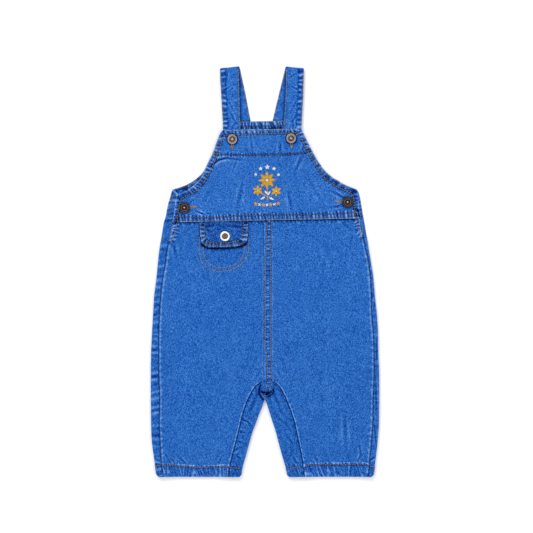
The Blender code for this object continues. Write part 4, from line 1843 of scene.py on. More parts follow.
def crotch_folds(x: Array, level: Array) -> Array:
    """The deep folds round the end of the crotch seam, from 0 to about 1 in their middles."""
    return np.maximum.reduce([deep * line.closeness(x, level, width) for line, width, deep in CROTCH_FOLDS])


def crotch_drop(x: Array, level: Array) -> Array:
    """How much of its height the turned cloth loses under the crotch seam and in the deep folds there."""
    under_seam = 0.28 * soft_step(-10.0, -6.5, x) * (1 - soft_step(11.5, 15.5, x))
    return np.clip(under_seam * soft_step(-150.0, -144.0, level) + 0.36 * crotch_folds(x, level), 0, 0.66)


@dataclass
class TurnedEdge:
    """The part of a back leg that turns up round an edge and lies back over it to a lip."""

    fold: Curve
    lip: Curve
    inward: int
    columns: int
    creases: Sequence[Fold]
    puckers: Puckers
    hem_row: Line
    tone: float = 0.0

    ARC_STEPS = 9
    LAST_SHARES = (0.965, 0.99, 1)
    LIP_DROPS = (0.14, 0.45)

    def relief(self, x: Array, level: Array) -> Array:
        """Creases over the strip, the lip's puckers and the hem's.

        Args:
            x: the points' x.
            level: their level.

        Returns:
            The added height.
        """
        total = creases_over(self.creases, x, level)
        total += self.puckers.over(self.lip.beside(x, level), 400.0 + level)
        hem = Puckers(3.2, 0.34, 30, 4, 0.4, 52).over(level - HEM_LINE, 200.0 + x)
        return total + hem * (0.9 + 0.4 * mottle(x, level, 3.4, 58))

    def wear(self, x: Array, level: Array) -> Array:
        """Pale on ridges, as rubbed wear and painted highlight, and along the fold; painted shade at the
        seam, at the hem's edge and along its row; painted black shadow in the folds at the crotch.

        Args:
            x: the points' x.
            level: their level.

        Returns:
            The wear and painted shade at each point.
        """
        total = self.relief(x, level) * WEAR_AND_SHADE_PER_MM + self.tone + 0.12 * mottle(x, level, 4.5, 57)
        total += 0.2 * bump_at(self.fold.beside(x, level), 1.2, 1.0)
        # Painted shade along the lip's seam, and painted black shadow in the deep folds at the crotch
        total -= 1.1 * np.exp(-self.lip.beside(x, level) / 0.5) + 2.6 * crotch_folds(x, level)
        # Painted shade along the hem's edge and along its row
        total -= hem_edge_shade(x, level) + 0.7 * self.hem_row.closeness(x, level, 1.0)
        return np.clip(total, DEEPEST, 1.25)

    @staticmethod
    def _sag(width: Array, share: Array) -> Array:
        """How far the strip hangs below its fold, across its width."""
        return 0.35 * soft_step(4, 14, width) * np.sin(math.pi * share) + 0.15 * share

    def section(self, level: Array) -> tuple[Array, Array, Array]:
        """The strip's points at each level.

        Args:
            level: the levels, from the top down.

        Returns:
            The outer points, the inner points and the outer points' wear and painted shade, rows by columns.
        """
        fold, lip = self.fold.at(level), self.lip.at(level) - self.inward * GAP / 2
        middle = fold[:, None] + self.inward * TURN_RADIUS
        reach = lip[:, None] - middle
        rise = band(level - HEM, HEM_LINE - HEM)[:, None]
        turns = np.linspace(0, math.pi, self.ARC_STEPS + 1)[1:]
        up = (1 - np.cos(turns)) / 2
        shares = np.concatenate([np.linspace(0, 1, self.columns + 1)[1:-1] ** 0.9, self.LAST_SHARES])
        flat_z = 2 * TURN_RADIUS - self._sag(np.abs(reach), shares)
        sides = []
        for radius, lift, drop in ((TURN_RADIUS, rise, 0.0), (TURN_RADIUS - CLOTH, 0 * rise, CLOTH)):
            arc_z = TURN_RADIUS - radius * np.cos(turns) + lift * up
            sides.append(np.hstack([middle - self.inward * radius * np.sin(turns), middle + reach * shares]))
            sides.append(np.hstack([arc_z, flat_z - drop + lift]))
        outer_x, outer_z, inner_x, inner_z = sides
        level = np.broadcast_to(level[:, None], outer_x.shape)
        on_top = np.concatenate([up, np.ones(len(shares))])
        outer_z = outer_z * (1 - crotch_drop(outer_x, level)) + self.relief(outer_x, level) * on_top ** 2
        outer_z[:, -2:] -= self.LIP_DROPS
        inner_z = CLOTH + (inner_z - CLOTH) * (1 - crotch_drop(inner_x, level))
        inner_z = np.minimum(inner_z, np.maximum(outer_z - 0.4, CLOTH + 0.02 * on_top))
        outer = np.stack([outer_x, lie(outer_x, level), outer_z], axis=-1)
        inner = np.stack([inner_x, lie(inner_x, level), inner_z], axis=-1)
        return outer, inner, self.wear(outer_x, level) * on_top

    def surface(self, x: Array, level: Array) -> Array:
        """The strip's outer points, for its stitches.

        Args:
            x: the points' x.
            level: their level.

        Returns:
            The points.
        """
        middle = self.fold.at(level) + self.inward * TURN_RADIUS
        reach = self.lip.at(level) - middle
        sag = self._sag(np.abs(reach), np.clip((x - middle) / reach, 0, 1))
        beyond = np.clip((middle - x) * self.inward, 0, TURN_RADIUS * 0.98)
        z = TURN_RADIUS + np.sqrt(TURN_RADIUS ** 2 - beyond ** 2) - sag + band(level - HEM, HEM_LINE - HEM)
        z = z * (1 - crotch_drop(x, level)) + self.relief(x, level) + STITCH_LIFT
        return np.stack([x, lie(x, level), z], axis=-1)


@dataclass
class BackLeg:
    """A back leg: flat underneath, turned forward along its side and, below the crotch, along its inside."""

    side: Side
    flat: tuple[float, float] = (0.160, 0.308)
    flat_share: float = 0.93
    base_columns: int = 25

    def __post_init__(self) -> None:
        """Sets the two turned edges."""
        self.name = f"back_leg_{self.side.value}_cloth"
        self.way = self.side.outward
        if self.side is Side.LEFT:
            outer_height, outer_seed, inner_seed = 0.20, 53, 55
            outer_hem = Line((-131, -232.1), (-124.6, -232.2))
            inner_hem = Line((-42, -234.6), (-34, -235.2), (-27.6, -235.8))
            outer_creases = rows_of(
                Fold,
                (-129, 26, 5, 1.2, 20, 0.22), (-131, -6, 4, 1.5, 0, 0.2),
                (-132.5, -52, 5, 1.4, 10, 0.2), (-132.5, -94, 5, 1.6, -6, 0.22),
                (-132, -126, 5, 1.8, 4, 0.20), (-132, -166, 5, 1.5, 12, 0.14),
                (-131, -196, 5, 1.4, -8, 0.12), (-128, -226, 5, 1.2, -20, 0.26),
            )
            inner_creases = rows_of(
                Fold,
                (-24.8, -177.8, 3.6, 1, -28, 0.42), (-19, -182, 3, 1, -50, 0.26),
                (-28, -192, 3.4, 1.1, -12, 0.26), (-30, -204, 3, 1.1, -20, 0.24),
                (-10.5, -143, 6, 1.2, 96, 0.14), (-14, -158, 10, 2, 70, 0.14),
                (-32, -222, 4, 1.2, -40, 0.22), (-36, -214, 5, 1.3, 30, 0.2),
            )
        else:
            outer_height, outer_seed, inner_seed = 0.12, 54, 56
            outer_hem = Line((125, -232.6), (131.4, -234))
            inner_hem = Line((25.8, -235.8), (34, -235), (46, -233.3))
            outer_creases = rows_of(
                Fold,
                (125.5, 8, 4, 1.2, 70, 0.16), (131, -40, 6, 1, 85, 0.16),
                (133.5, -92, 14, 1, 90, 0.16), (133, -150, 20, 1, 92, 0.18),
                (132, -196, 14, 1, 96, 0.16), (128.5, -224, 5, 1.2, 30, 0.26),
            )
            inner_creases = rows_of(
                Fold,
                (14, -154, 9, 1.8, 114, 0.12), (20, -168, 10, 1.6, 124, 0.08),
                (26, -184, 9, 1.5, 128, 0.08), (17, -176, 8, 1.4, 132, 0.08),
                (30, -202, 8, 1.5, 126, 0.08), (31, -218, 5, 1.4, 60, 0.10),
                (36, -226, 4, 1.2, 120, 0.2),
            )
        self.outer = TurnedEdge(
            self.side.curve(SIDES, "fold_"), self.side.curve(SIDES, "seam_"), -self.way, 8, outer_creases,
            Puckers(7.6, outer_height, 0.5, 18.0, 0.3, outer_seed), outer_hem,
        )
        self.inner = TurnedEdge(
            self.side.curve(INNER_LEGS, "fold_"), self.side.curve(INNER_LEGS, "seam_"), self.way, 18,
            inner_creases, Puckers(6.0, 0.10, 0.5, 6.0, 0.5, inner_seed), inner_hem, -0.14,
        )

    def build(self) -> None:
        """Makes the leg and its hem stitches."""
        level = spread(
            (BACK_WAIST - GAP / 2, PLACKET_END + GAP, 1.5), (PLACKET_END, CROTCH + GAP, 1.6),
            (CROTCH, -156.0, 0.8), (-156, -226, 1.6), (-226.0, HEM + 0.4, 0.8), (HEM + 0.4, HEM, 0.2),
        )
        turned_out = level <= PLACKET_END + 0.01
        turned_in = level <= CROTCH + 0.01
        outer_x = (self.outer.fold.at(level) - np.where(turned_out, self.way * TURN_RADIUS, 0.0))[:, None]
        inner_fold = self.inner.fold.at(level) + self.way * TURN_RADIUS
        inner_x = np.where(turned_in, inner_fold, self.way * GAP / 2)[:, None]
        x = outer_x + (inner_x - outer_x) * np.linspace(0, 1, self.base_columns)
        y = lie(x, np.broadcast_to(level[:, None], x.shape))
        rubbed = (level > WAIST - 22)[:, None] * np.exp(-np.abs(x - outer_x) / 0.8)
        mesh = PieceMesh()
        base = [
            mesh.grid(np.stack([x, y, np.full(x.shape, z)], axis=-1), rubbed * 0.3 - 0.1)
            for z in (0.0, CLOTH)
        ]
        for numbers in base:
            mesh.skin(numbers)
        for row in (0, -1):
            mesh.joined(base[0][row], base[1][row])
        self._close(mesh, base, self.outer, level, turned_out, 0)
        self._close(mesh, base, self.inner, level, turned_in, -1)
        item = mesh.made(self.name, BLUE_DENIM)
        put_on(item, f"back_leg_{self.side.value}")
        for part, edge in (("side", self.outer), ("inside", self.inner)):
            sewn(f"{self.name}_{part}", [Seam(edge.hem_row, Threads.ORANGE, 1.1)], edge.surface)

    @staticmethod
    def _close(
        mesh: PieceMesh, base: list[Array], edge: TurnedEdge, level: Array, turned: Array, column: int
    ) -> None:
        """Adds one turned edge, and closes the plain edge above it.

        Args:
            mesh: the leg's mesh.
            base: the numbers of the flat part's lower and upper points.
            edge: the turned edge.
            level: the leg's levels.
            turned: which of them are turned.
            column: the flat part's column that the edge starts from.
        """
        first = int(np.argmax(turned))
        mesh.joined(*(numbers[: first + 1, column] for numbers in base))
        outer, inner, wear = edge.section(level[first:])
        outer_numbers = np.hstack([base[0][first:, column][:, None], mesh.grid(outer, wear)])
        inner_numbers = np.hstack([base[1][first:, column][:, None], mesh.grid(inner, INSIDE_SHADE)])
        mesh.skin(outer_numbers)
        mesh.skin(inner_numbers)
        for end in (np.s_[0], np.s_[-1], np.s_[:, -1]):
            mesh.joined(outer_numbers[end], inner_numbers[end])


# The lines across each strap's front, from behind the bib to the shoulder fold, and down its back
STRAPS = {
    Side.LEFT: (
        rows_of(
            StrapRow,
            (-49.7, 149.5, -28.9, 150.5, 1.5), (-50.2, 160, -29.2, 161, 1.7),
            (-50.4, 169, -29.5, 170.4, 2.1), (-50.5, 178, -29.7, 179.5, 2.1),
            (-52.3, 208.2, -30.5, 210.6, 2.1), (-53.5, 227.4, -31, 229.9, 2.1),
            (-53.9, 241.7, -31.6, 244.1, 2.1),
        ),
        rows_of(
            StrapRow,
            (-53.4, 241.4, -30.3, 243.9, 0), (-46.6, 209.6, -23.4, 212.4, 0),
            (-39.8, 179.9, -17.4, 180.3, 0),
        ),
    ),
    Side.RIGHT: (
        rows_of(
            StrapRow,
            (20.8, 151.5, 42.4, 150.5, 1.5), (21.4, 161.5, 43, 160.5, 1.7),
            (22, 172.2, 43.5, 171.2, 2.1), (22.6, 181, 44, 179.8, 2.1),
            (24.5, 209.8, 45.6, 208.6, 2.1), (25.1, 230.5, 46.2, 228.8, 2.1),
            (25.4, 243.9, 46.5, 241.8, 2.1),
        ),
        rows_of(
            StrapRow,
            (24.3, 243.6, 46.2, 241.6, 0), (16.3, 211, 38.8, 209.6, 0), (9.2, 180.9, 31.4, 181.3, 0),
        ),
    ),
}


@dataclass
class Strap:
    """A strap of double cloth: from behind the bib, over the shoulder fold, to the back bib's top."""

    side: Side
    columns: int = 26
    turn_steps: int = 10
    row_inset: float = 0.05
    hem_rise: float = 0.35
    flat: tuple[float, float] = (0.022, 0.158)

    def __post_init__(self) -> None:
        """Joins the front, the fold and the back into one run of stations."""
        front, back = STRAPS[self.side]
        inner = "right" if self.side is Side.LEFT else "left"
        self.inner_edge = Curve([(getattr(row, f"{inner}_y"), getattr(row, f"{inner}_x")) for row in front])
        front_stations, back_stations = self._between(front, 0.9), self._between(back, 2.0)
        shares = np.linspace(0, 1, self.turn_steps + 1)[:, None]
        turn_stations = np.array(front[-1]) * (1 - shares) + np.array(back[0]) * shares
        self.stations = np.vstack([front_stations[:-1], turn_stations, back_stations[1:]])
        before, after = np.zeros(len(front_stations) - 1), np.full(len(back_stations) - 1, math.pi)
        self.turns = np.concatenate([before, math.pi * shares[:, 0], after])
        steps = np.hypot(*np.diff(self.stations[:, :2], axis=0).T)
        arc = np.where(np.diff(self.turns) > 0, math.pi / self.turn_steps, steps)
        self.run = np.concatenate([[0.0], np.cumsum(arc)])
        self.front_end = self.run[len(before)]
        self.back_start = self.run[len(before) + self.turn_steps]

    @staticmethod
    def _between(rows: Sequence[StrapRow], step: float) -> Array:
        """Fills in lines between given ones.

        Args:
            rows: the given lines.
            step: about how far apart they become.

        Returns:
            One row of five values for each line.
        """
        found = []
        for first, second in zip(rows, rows[1:]):
            count = max(1, round(abs(second.left_y - first.left_y) / step))
            shares = np.linspace(0, 1, count + 1)[:-1, None]
            found.append(np.array(first) * (1 - shares) + np.array(second) * shares)
        return np.vstack([*found, np.array([rows[-1]])])

    def relief(self, share: Array, along: Array, above: bool) -> Array:
        """Puckers along the outer edge and light creases across.

        Args:
            share: the place across the strap, from 0 at its left to 1.
            along: the place along it.
            above: whether this is the front's upper face, and not the back's.

        Returns:
            The relief.
        """
        across = share * STRAP_WIDTH
        outer, inner = across, (1 - share) * STRAP_WIDTH
        seed, turn = 81, 24.0
        if self.side is Side.RIGHT:
            outer, inner = inner, outer
            seed, turn = 83, -24.0
        if not above:
            total = Puckers(8.0, 0.2, 0.5, 4.0, 0.4, seed + 2).over(inner, along)
            return total + 0.03 * mottle(across, along, 5.0, seed)
        zone = 1 - soft_step(5.6, 6.6, outer)
        total = Puckers(6.4, 0.5, 0.5, 14.0, 0.3, seed).over(outer, along) * zone
        total += Puckers(6.0, 0.12, 0.5, 3.0, 0.4, seed + 1).over(inner, along)
        marks = rows_of(
            Fold,
            (9.5, 70.0, 4.0, 0.9, turn, 0.16), (13.0, 68.0, 3.0, 0.9, turn, 0.14),
            (11.0, 48.0, 9.0, 1.1, 90 + turn, 0.12), (13.0, 34.0, 9.0, 1.2, 90 + turn, 0.12),
            (8.0, 84.0, 6.0, 1.0, 60 + turn, 0.12), (12.0, 22.0, 10.0, 1.3, 80 - turn, 0.12),
        )
        return total - 0.16 * bump_at(outer, 6.3, 0.8) + creases_over(marks, across, along)

    def face(self, upper: bool) -> tuple[Array, Array]:
        """The points of one face.

        Args:
            upper: whether it is the face that lies uppermost on the front.

        Returns:
            The points and their wear and painted shade, rows by columns.
        """
        half = DOUBLE_CLOTH / 2
        edge = np.array([0.0, 0.012, 0.035])
        share = np.concatenate([edge, np.linspace(0.07, 0.93, self.columns), 1 - edge[::-1]])
        left_x, left_y, right_x, right_y, under = self.stations.T[:, :, None]
        turn = self.turns[:, None]
        turn_middle = (STRAP_REST + 2 * half) / 2
        turn_radius = turn_middle - half
        along = self.run[:, None] + 0 * share
        across = share + 0 * along
        near_edge = np.minimum(share, 1 - share) * STRAP_WIDTH
        reach = half * (0.3 + 0.7 * np.sqrt(np.clip(1 - (1 - np.clip(near_edge / 0.75, 0, 1)) ** 2, 0, 1)))
        if upper:
            on_front = np.clip(np.cos(turn), 0, 1) * soft_step(162, 168, left_y)
            relief = self.relief(across, along, True) * on_front
            hem = self.hem_rise * (1 - soft_step(4.4, 5.6, near_edge)) * on_front
            reach = reach * (half + hem) / half + relief
        else:
            relief = self.relief(across, along, False) * np.clip(-np.cos(turn), 0, 1)
            reach = -(reach + relief)
        x = left_x + (right_x - left_x) * share
        y = left_y + (right_y - left_y) * share + (turn_radius + reach) * np.sin(turn)
        middle_z = np.where(turn == 0.0, under + half, turn_middle + turn_radius * np.cos(turn))
        # The relief's rubbed wear with painted highlight and shade, pale rubbed edges, and painted shade
        # along the stitch rows just inside them
        wear = relief * WEAR_AND_SHADE_PER_MM + 0.5 * np.exp(-near_edge / 0.5) - 0.5 * bump_at(near_edge, 1.2, 0.8)
        wear = wear + 0.25 * np.sin(turn) + 0.06
        wear += 0.28 * mottle(across * STRAP_WIDTH, along, 3.0, 84) * (1 - soft_step(6.0, 7.0, near_edge))
        if not upper:
            # Painted shadow on this face beside the line of the front part's inner edge
            wear -= 1.6 * np.exp(-np.abs(x - self.inner_edge.at(y)) / 1.3)
        return np.stack([x, y, middle_z + reach * np.cos(turn)], axis=-1), np.clip(wear, -2.0, 1.25)

    def surface(self, share: Array, along: Array, above: bool) -> Array:
        """Points of the face that shows, for its stitches.

        Args:
            share: the place across the strap.
            along: the place along it.
            above: whether it is the front's upper face.

        Returns:
            The points.
        """
        left_x, left_y, right_x, right_y, under = (
            np.interp(along, self.run, column) for column in self.stations.T
        )
        lift = DOUBLE_CLOTH + self.hem_rise * above + self.relief(share, along, above) + 0.05
        x = left_x + (right_x - left_x) * share
        y = left_y + (right_y - left_y) * share
        return np.stack([x, y, under * above + lift], axis=-1)

    def build(self) -> None:
        """Makes the strap and sews its edges."""
        mesh = PieceMesh()
        outer, inner = (mesh.grid(*self.face(upper)) for upper in (True, False))
        mesh.wall(outer, inner)
        item = mesh.made(f"strap_{self.side.value}_cloth", BLUE_DENIM)
        put_on(item, f"strap_{self.side.value}")
        strands = Strands()
        front = (16.0, self.front_end - 0.5, True)
        back = (self.back_start + 1.0, self.run[-1] - 0.5, False)
        for share in (self.row_inset, 1 - self.row_inset):
            for start, end, above in (front, back):
                seam = Seam(Line((0.0, start), (0.0, end)), width=0.8)
                seam.lay(strands, lambda x, along: self.surface(x + share, along, above))
        spot = 1 - self.row_inset if self.side is Side.LEFT else self.row_inset
        strands.bar(lambda x, along: self.surface(spot + x / STRAP_WIDTH, along, True), 0.0, 64.0, 90.0, 2.4)
        strands.made(f"strap_{self.side.value}_stitches", Threads.TAN)


@dataclass
class Buttonhole:
    """A keyhole worked in thread, of which the tail shows beyond the button."""

    button: tuple[float, float]
    end: tuple[float, float]

    def work(self, strands: Strands, surface: Surface) -> None:
        """Works the hole's two sides and its end bar.

        Args:
            strands: where the threads are gathered.
            surface: gives the piece's points.
        """
        start, end = (np.array([x, level_of(x, y)]) for x, y in (self.button, self.end))
        length = float(np.linalg.norm(end - start))
        way = (end - start) / length
        side = np.array([-way[1], way[0]])
        along = np.arange(0, length, 0.5)[:, None]
        spread_out = 0.35 + 1.5 * (1 - along / length)
        for sign in (-1, 1):
            middle = along * way + start + side * spread_out * sign
            near, far = middle - side * 0.6 * sign, middle + side * 0.6 * sign
            strands.add(surface(*near.T), surface(*far.T), 0.6, 0.34)
        tail = np.arange(-0.4, 2.4, 0.5)[:, None] * way + end
        strands.add(surface(*(tail - side * 0.7).T), surface(*(tail + side * 0.7).T), 0.6, 0.38)


@dataclass
class Posy:
    """The embroidered design on the bib: sprigs of flowers and leaves with small stars, in satin stitch."""

    surface: Surface
    middle: tuple[float, float] = (2.4, 101)
    pitch: float = 0.46

    def petal(self, strands: Strands, root: Array, turn: float, length: float, width: float) -> None:
        """Fills one petal or leaf that grows from a point.

        Args:
            strands: where the threads are gathered.
            root: where it grows from, from the design's middle.
            turn: the way that it grows, in degrees from X.
            length: how long it is.
            width: how wide it is.
        """
        way = heading(turn)
        side = np.array([-way[1], way[0]])
        along = np.arange(self.pitch / 2, length, self.pitch)
        half = width / 2 * np.sin(math.pi * (along / length) ** 0.8) ** 0.75
        places = along[:, None] * way + root + self.middle
        reach = (side + way * 0.25) * half[:, None]
        keep = half > 0.12
        first, last = (places - reach)[keep], (places + reach)[keep]
        strands.add(self.surface(*first.T), self.surface(*last.T), 0.5, 0.16 + 0.14 * half[keep])

    def ring(
        self, strands: Strands, x: float, level: float, petals: int, size: tuple[float, float],
        start: float = 90.0, gap: float = 0.0,
    ) -> None:
        """Sets petals round a point.

        Args:
            strands: where the threads are gathered.
            x: the flower's middle, from the design's middle.
            level: the same along the garment.
            petals: how many petals.
            size: a petal's length and width.
            start: the first petal's direction, in degrees.
            gap: how far from the middle the petals start.
        """
        for number in range(petals):
            turn = start + 360 / petals * number
            self.petal(strands, gap * heading(turn) + (x, level), turn, *size)

    def stem(self, strands: Strands, *knots: tuple[float, float]) -> None:
        """Works a stem in slanted stitches.

        Args:
            strands: where the threads are gathered.
            knots: the points that it passes, from the design's middle.
        """
        line = Line(*knots)
        places = np.stack(line.at(np.arange(0, line.run[-1], self.pitch)), axis=1) + self.middle
        slant = np.array([0.5, 0.35])
        strands.add(self.surface(*(places - slant).T), self.surface(*(places + slant).T), 0.5, 0.22)

    def build(self) -> None:
        """Embroiders the design."""
        mustard, white = Strands(), Strands()
        self.stem(mustard, (0.2, -15.5), (0.9, -9), (0.3, -2), (0, 2))
        self.stem(mustard, (0.5, -13), (5, -9.6), (8.8, -7.6))
        self.stem(mustard, (0.4, -11.6), (-4.6, -8.4), (-8.6, -6.2))
        for x, level, petals, size, gap in (
            (0.0, 8.2, 8, (8.6, 4.9), 1.8),
            (11.0, -5.2, 6, (5.2, 3.9), 1.1),
            (-11.0, -4.0, 6, (5.2, 3.9), 1.1),
        ):
            self.ring(mustard, x, level, petals, size, 90.0, gap)
            self.ring(white, x, level, 5, (1.2 * gap, 0.8 * gap), 54.0)
        for x, level, turn, length in (
            (0.9, -9.6, 56, 5.6), (0.6, -8.6, 126, 5.6), (3, -12.4, -30, 6.2), (-2.4, -11.6, 210, 6.2),
        ):
            self.petal(white, np.array([x, level]), turn, length, 2.7)
        for x, level, size in (
            (-7.6, 22.4, 2.4), (0.4, 24, 2.8), (8.4, 22, 2.4), (-13.6, 15.4, 2), (13.8, 14.6, 2),
        ):
            self.ring(white, x, level, 5, (size, size * 0.66), 90.0, 0.1)
        for number in range(7):
            x = -13.5 + 4.5 * number
            level = -21.4 + 0.5 * (number - 3) ** 2 / 3
            if number % 2:
                self.ring(white, x, level, 4, (1.9, 1.4), 45.0, 0.1)
            else:
                self.ring(mustard, x, level, 5, (2.3, 1.8), 90.0, 0.3)
        mustard.made("bib_embroidery_mustard", Threads.MUSTARD)
        white.made("bib_embroidery_white", Threads.WHITE)


class Ring(NamedTuple):
    """One ring of a button: its share of the radius, its height, and its wear and painted shade."""

    share: float
    height: float
    wear: float


@dataclass(frozen=True)
class ButtonLook:
    """One kind of button: its metal, slot and ticks, and its rings from the rim's underside."""

    metal: CastMetal
    slot: str
    ticks: int
    rings: tuple[tuple[float, float, float], ...]

    def profile(self) -> list[Ring]:
        """The section from the underside's middle, over the rim, to the top's middle."""
        return rows_of(Ring, (0.00, 0, 0), (0.50, 0, 0), (0.54, 0.7, -1), *self.rings)


# In the silver and bronze looks the dark outer edge of the rim is painted shade round the button; the dark
# rings within are patina in the hollows
SILVER = ButtonLook(
    CastMetal("antique_silver", (0.006, 0.004, 0.003), (0.100, 0.072, 0.062), (0.62, 0.53, 0.48)),
    "silver_button", 30,
    (
        (0.90, 0.9, -1), (0.985, 1.2, -0.6), (1.00, 1.55, -1), (0.985, 1.95, -0.4), (0.93, 2.2, 0.8),
        (0.86, 2.2, 0.6), (0.82, 1.90, -0.3), (0.79, 1.75, -0.5), (0.74, 1.85, 0), (0.68, 2.05, 0.35),
        (0.60, 2.05, 0.25), (0.56, 1.80, -0.8), (0.52, 1.65, -1.2), (0.46, 1.60, -1.2), (0.42, 1.75, -0.8),
        (0.38, 2, 0.3), (0.32, 2.1, 0.5), (0.27, 1.90, -0.6), (0.22, 1.90, -0.9), (0.17, 2.20, 0.3),
        (0.10, 2.45, 1.1), (0.00, 2.5, 1.2),
    ),
)

BRONZE = ButtonLook(
    CastMetal("dark_bronze", (0.002, 0.001, 0.001), (0.026, 0.015, 0.015), (0.46, 0.35, 0.32)),
    "bronze_button", 24,
    (
        (0.90, 0.9, -1), (0.985, 1.2, -0.8), (1.00, 1.6, -0.9), (0.98, 1.95, -0.5), (0.93, 2.15, 0.1),
        (0.87, 2.1, 0.3), (0.82, 1.85, -0.7), (0.76, 1.80, -1.2), (0.70, 1.85, -1), (0.65, 2, 0),
        (0.59, 2.1, 0.5), (0.53, 2, 0), (0.46, 1.75, -1.1), (0.39, 1.7, -1.3), (0.33, 1.8, -1),
        (0.28, 2.05, 0.2), (0.23, 2.05, 0.1), (0.18, 2, -0.7), (0.12, 2.4, 1.2), (0.06, 2.5, 1.9),
        (0.00, 2.5, 1.9),
    ),
)

BRIGHT = ButtonLook(
    CastMetal("bright_silver", (0.020, 0.010, 0.007), (0.34, 0.29, 0.26), (0.90, 0.89, 0.87)),
    "silver_button", 0,
    (
        (0.90, 0.9, -0.5), (0.985, 1.2, 0.1), (1.00, 1.6, 0.7), (0.98, 2, 1), (0.92, 2.3, 1.1),
        (0.80, 2.42, 1.2), (0.68, 2.35, 1.1), (0.62, 2.10, 0.2), (0.57, 1.80, -1.2), (0.49, 1.70, -1.3),
        (0.44, 1.85, -0.6), (0.37, 1.95, 0.2), (0.32, 1.80, -0.9), (0.26, 1.75, -1.4), (0.18, 1.85, -1.2),
        (0.10, 2.10, -0.2), (0.00, 2.15, 0.4),
    ),
)


class ButtonStyle(Enum):
    """The three looks of the buttons."""

    SILVER = SILVER
    BRONZE = BRONZE
    BRIGHT = BRIGHT


@dataclass
class Button:
    """A cast button: a rolled rim, rings with small ticks between them, and a raised middle."""

    node: str
    style: ButtonStyle
    corners: int = 72
    tick_height: float = 0.16
    tick_from: float = 0.72
    tick_to: float = 0.84

    def build(self) -> None:
        """Turns the button where its solid is."""
        look = self.style.value
        low, high = (Vector(corner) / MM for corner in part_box(self.node))
        middle = np.array([(low.x + high.x) / 2, (low.y + high.y) / 2])
        angles = np.arange(self.corners) * math.tau / self.corners
        around = np.stack([np.cos(angles), np.sin(angles)], axis=1) * (high.x - low.x) / 2
        profile = look.profile()
        rings, ring_wear_and_shade = [], []
        for share, height, wear in profile[1:-1]:
            ticked = self.tick_from < share < self.tick_to and height > 1
            lift = self.tick_height * (0.5 + 0.5 * np.cos(angles * look.ticks)) * ticked
            rings.append(np.column_stack([middle + around * share, low.z + height + lift]))
            ring_wear_and_shade.append(wear + lift * 5)
        mesh = PieceMesh()
        ends = [
            mesh.grid(np.array([[[*middle, low.z + end.height]]]), end.wear)
            for end in (profile[0], profile[-1])
        ]
        numbers = mesh.grid(np.array(rings), np.array(ring_wear_and_shade))
        mesh.skin(np.hstack([numbers, numbers[:, :1]]))
        for end, ring in zip(ends, (numbers[0], numbers[-1])):
            mesh.fan(int(end[0, 0]), ring)
        put_on(mesh.made(f"{self.node}_cast", look.metal), self.node)


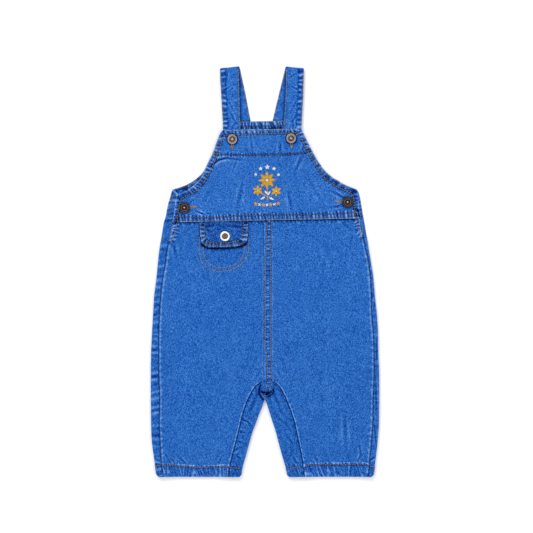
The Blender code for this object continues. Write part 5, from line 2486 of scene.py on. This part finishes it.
@dataclass
class Studio:
    """A pale floor, soft light and the camera straight above."""

    camera_x: float = 1.8
    camera_y: float = 6.0
    camera_height: float = 1510.0
    lens: float = 85.0
    floor_half: float = 3000.0
    floor_level: float = -0.2

    def build(self) -> None:
        """Makes the floor, the lights and the camera."""
        floor = Recipe("pale_floor").dress({"Base Color": (0.88, 0.88, 0.88), "Roughness": 0.9})
        half = self.floor_half
        around = ((-half, -half), (half, -half), (half, half), (-half, half))
        corners = [(x, y, self.floor_level) for x, y in around]
        new_object("floor", np.array(corners), [[0, 1, 2, 3]], floor)
        self._lights()
        camera = bpy.data.objects.new("camera", bpy.data.cameras.new("camera"))
        camera.data.lens = self.lens
        camera.data.clip_end = 20.0
        camera.location = (self.camera_x * MM, self.camera_y * MM, self.camera_height * MM)
        bpy.context.scene.collection.objects.link(camera)
        bpy.context.scene.camera = camera
        log.info("studio")

    @staticmethod
    def _lights() -> None:
        """Makes a bright even sky and two large soft lamps."""
        world = bpy.data.worlds.new("sky")
        world.use_nodes = True
        background = world.node_tree.nodes["Background"]
        background.inputs["Color"].default_value = (1, 1, 1, 1)
        background.inputs["Strength"].default_value = 0.96
        bpy.context.scene.world = world
        bpy.context.scene.view_settings.view_transform = "Standard"
        for name, place, size, power in (
            ("key", (-0.7, 1.4, 1.2), 0.8, 17.0),
            ("fill", (0.9, -0.6, 1.6), 1.4, 3.0),
        ):
            lamp = bpy.data.objects.new(name, bpy.data.lights.new(name, "AREA"))
            lamp.data.shape = "DISK"
            lamp.data.size = size
            lamp.data.energy = power
            lamp.location = place
            lamp.rotation_euler = (-Vector(place)).to_track_quat("-Z", "Y").to_euler()
            bpy.context.scene.collection.objects.link(lamp)


def build_overalls() -> None:
    """Builds every piece of the garment in sewing order."""
    BackBib("back_bib_cloth", "back_bib", 56, (0.240, 0.120)).build()
    for side in Side:
        BackLeg(side).build()
        Strap(side).build()
    left_leg, right_leg = (
        FrontLeg(
            f"front_leg_{side.value}_cloth", f"front_leg_{side.value}", 100, (0.132, 0.317),
            (f"back_leg_{side.value}",), side=side,
        ).build()
        for side in Side
    )
    bib = FrontBib("front_bib_cloth", "front_bib", 176, (0.228, 0.111), ("back_bib",)).build()
    PocketFlap(
        "pocket_flap_cloth", "pocket_flap", 50, (0.059, 0.032), ("front_leg_left",), DARK_DENIM, "dark_denim",
        edge_wear_and_shade=1.9, carrier=left_leg,
    ).build()
    CrotchSeam(
        "crotch_seam", columns=6, flat=(0.016, 0.0145), rests_on=("back_leg_left", "back_leg_right"),
        # Painted shade along its edges, where it dives into the fold
        edge_reach=3.2, edge_wear_and_shade=-0.7,
    ).build()
    Posy(bib.surface).build()
    holes, tacks = Strands(), Strands()
    for button, end in zip(BIB_BUTTONS, BUTTONHOLE_ENDS):
        Buttonhole(button, end).work(holes, bib.surface)
    holes.bar(bib.surface, -61.2, 141.6, 90.0, 3.4)
    holes.made("bib_buttonholes", Threads.GOLD)
    tacks.bar(right_leg.surface, 115.9, 39.7, 20.0, 2.4)
    tacks.bar(left_leg.surface, -113.6, 39.2, 160.0, 2.4)
    tacks.made("placket_tacks", Threads.GOLD)
    for place, style in (("bib", ButtonStyle.SILVER), ("side", ButtonStyle.BRONZE)):
        for side in Side:
            Button(f"button_{place}_{side.value}", style).build()
    Button("button_flap", ButtonStyle.BRIGHT).build()


def main() -> None:
    """Loads the frame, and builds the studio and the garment."""
    logging.basicConfig(level=logging.INFO, format="%(name)s: %(message)s")
    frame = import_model()
    log.info("%d nodes in the frame", len(frame["nodes"]))
    Studio().build()
    build_overalls()


if __name__ == "__main__":
    main()
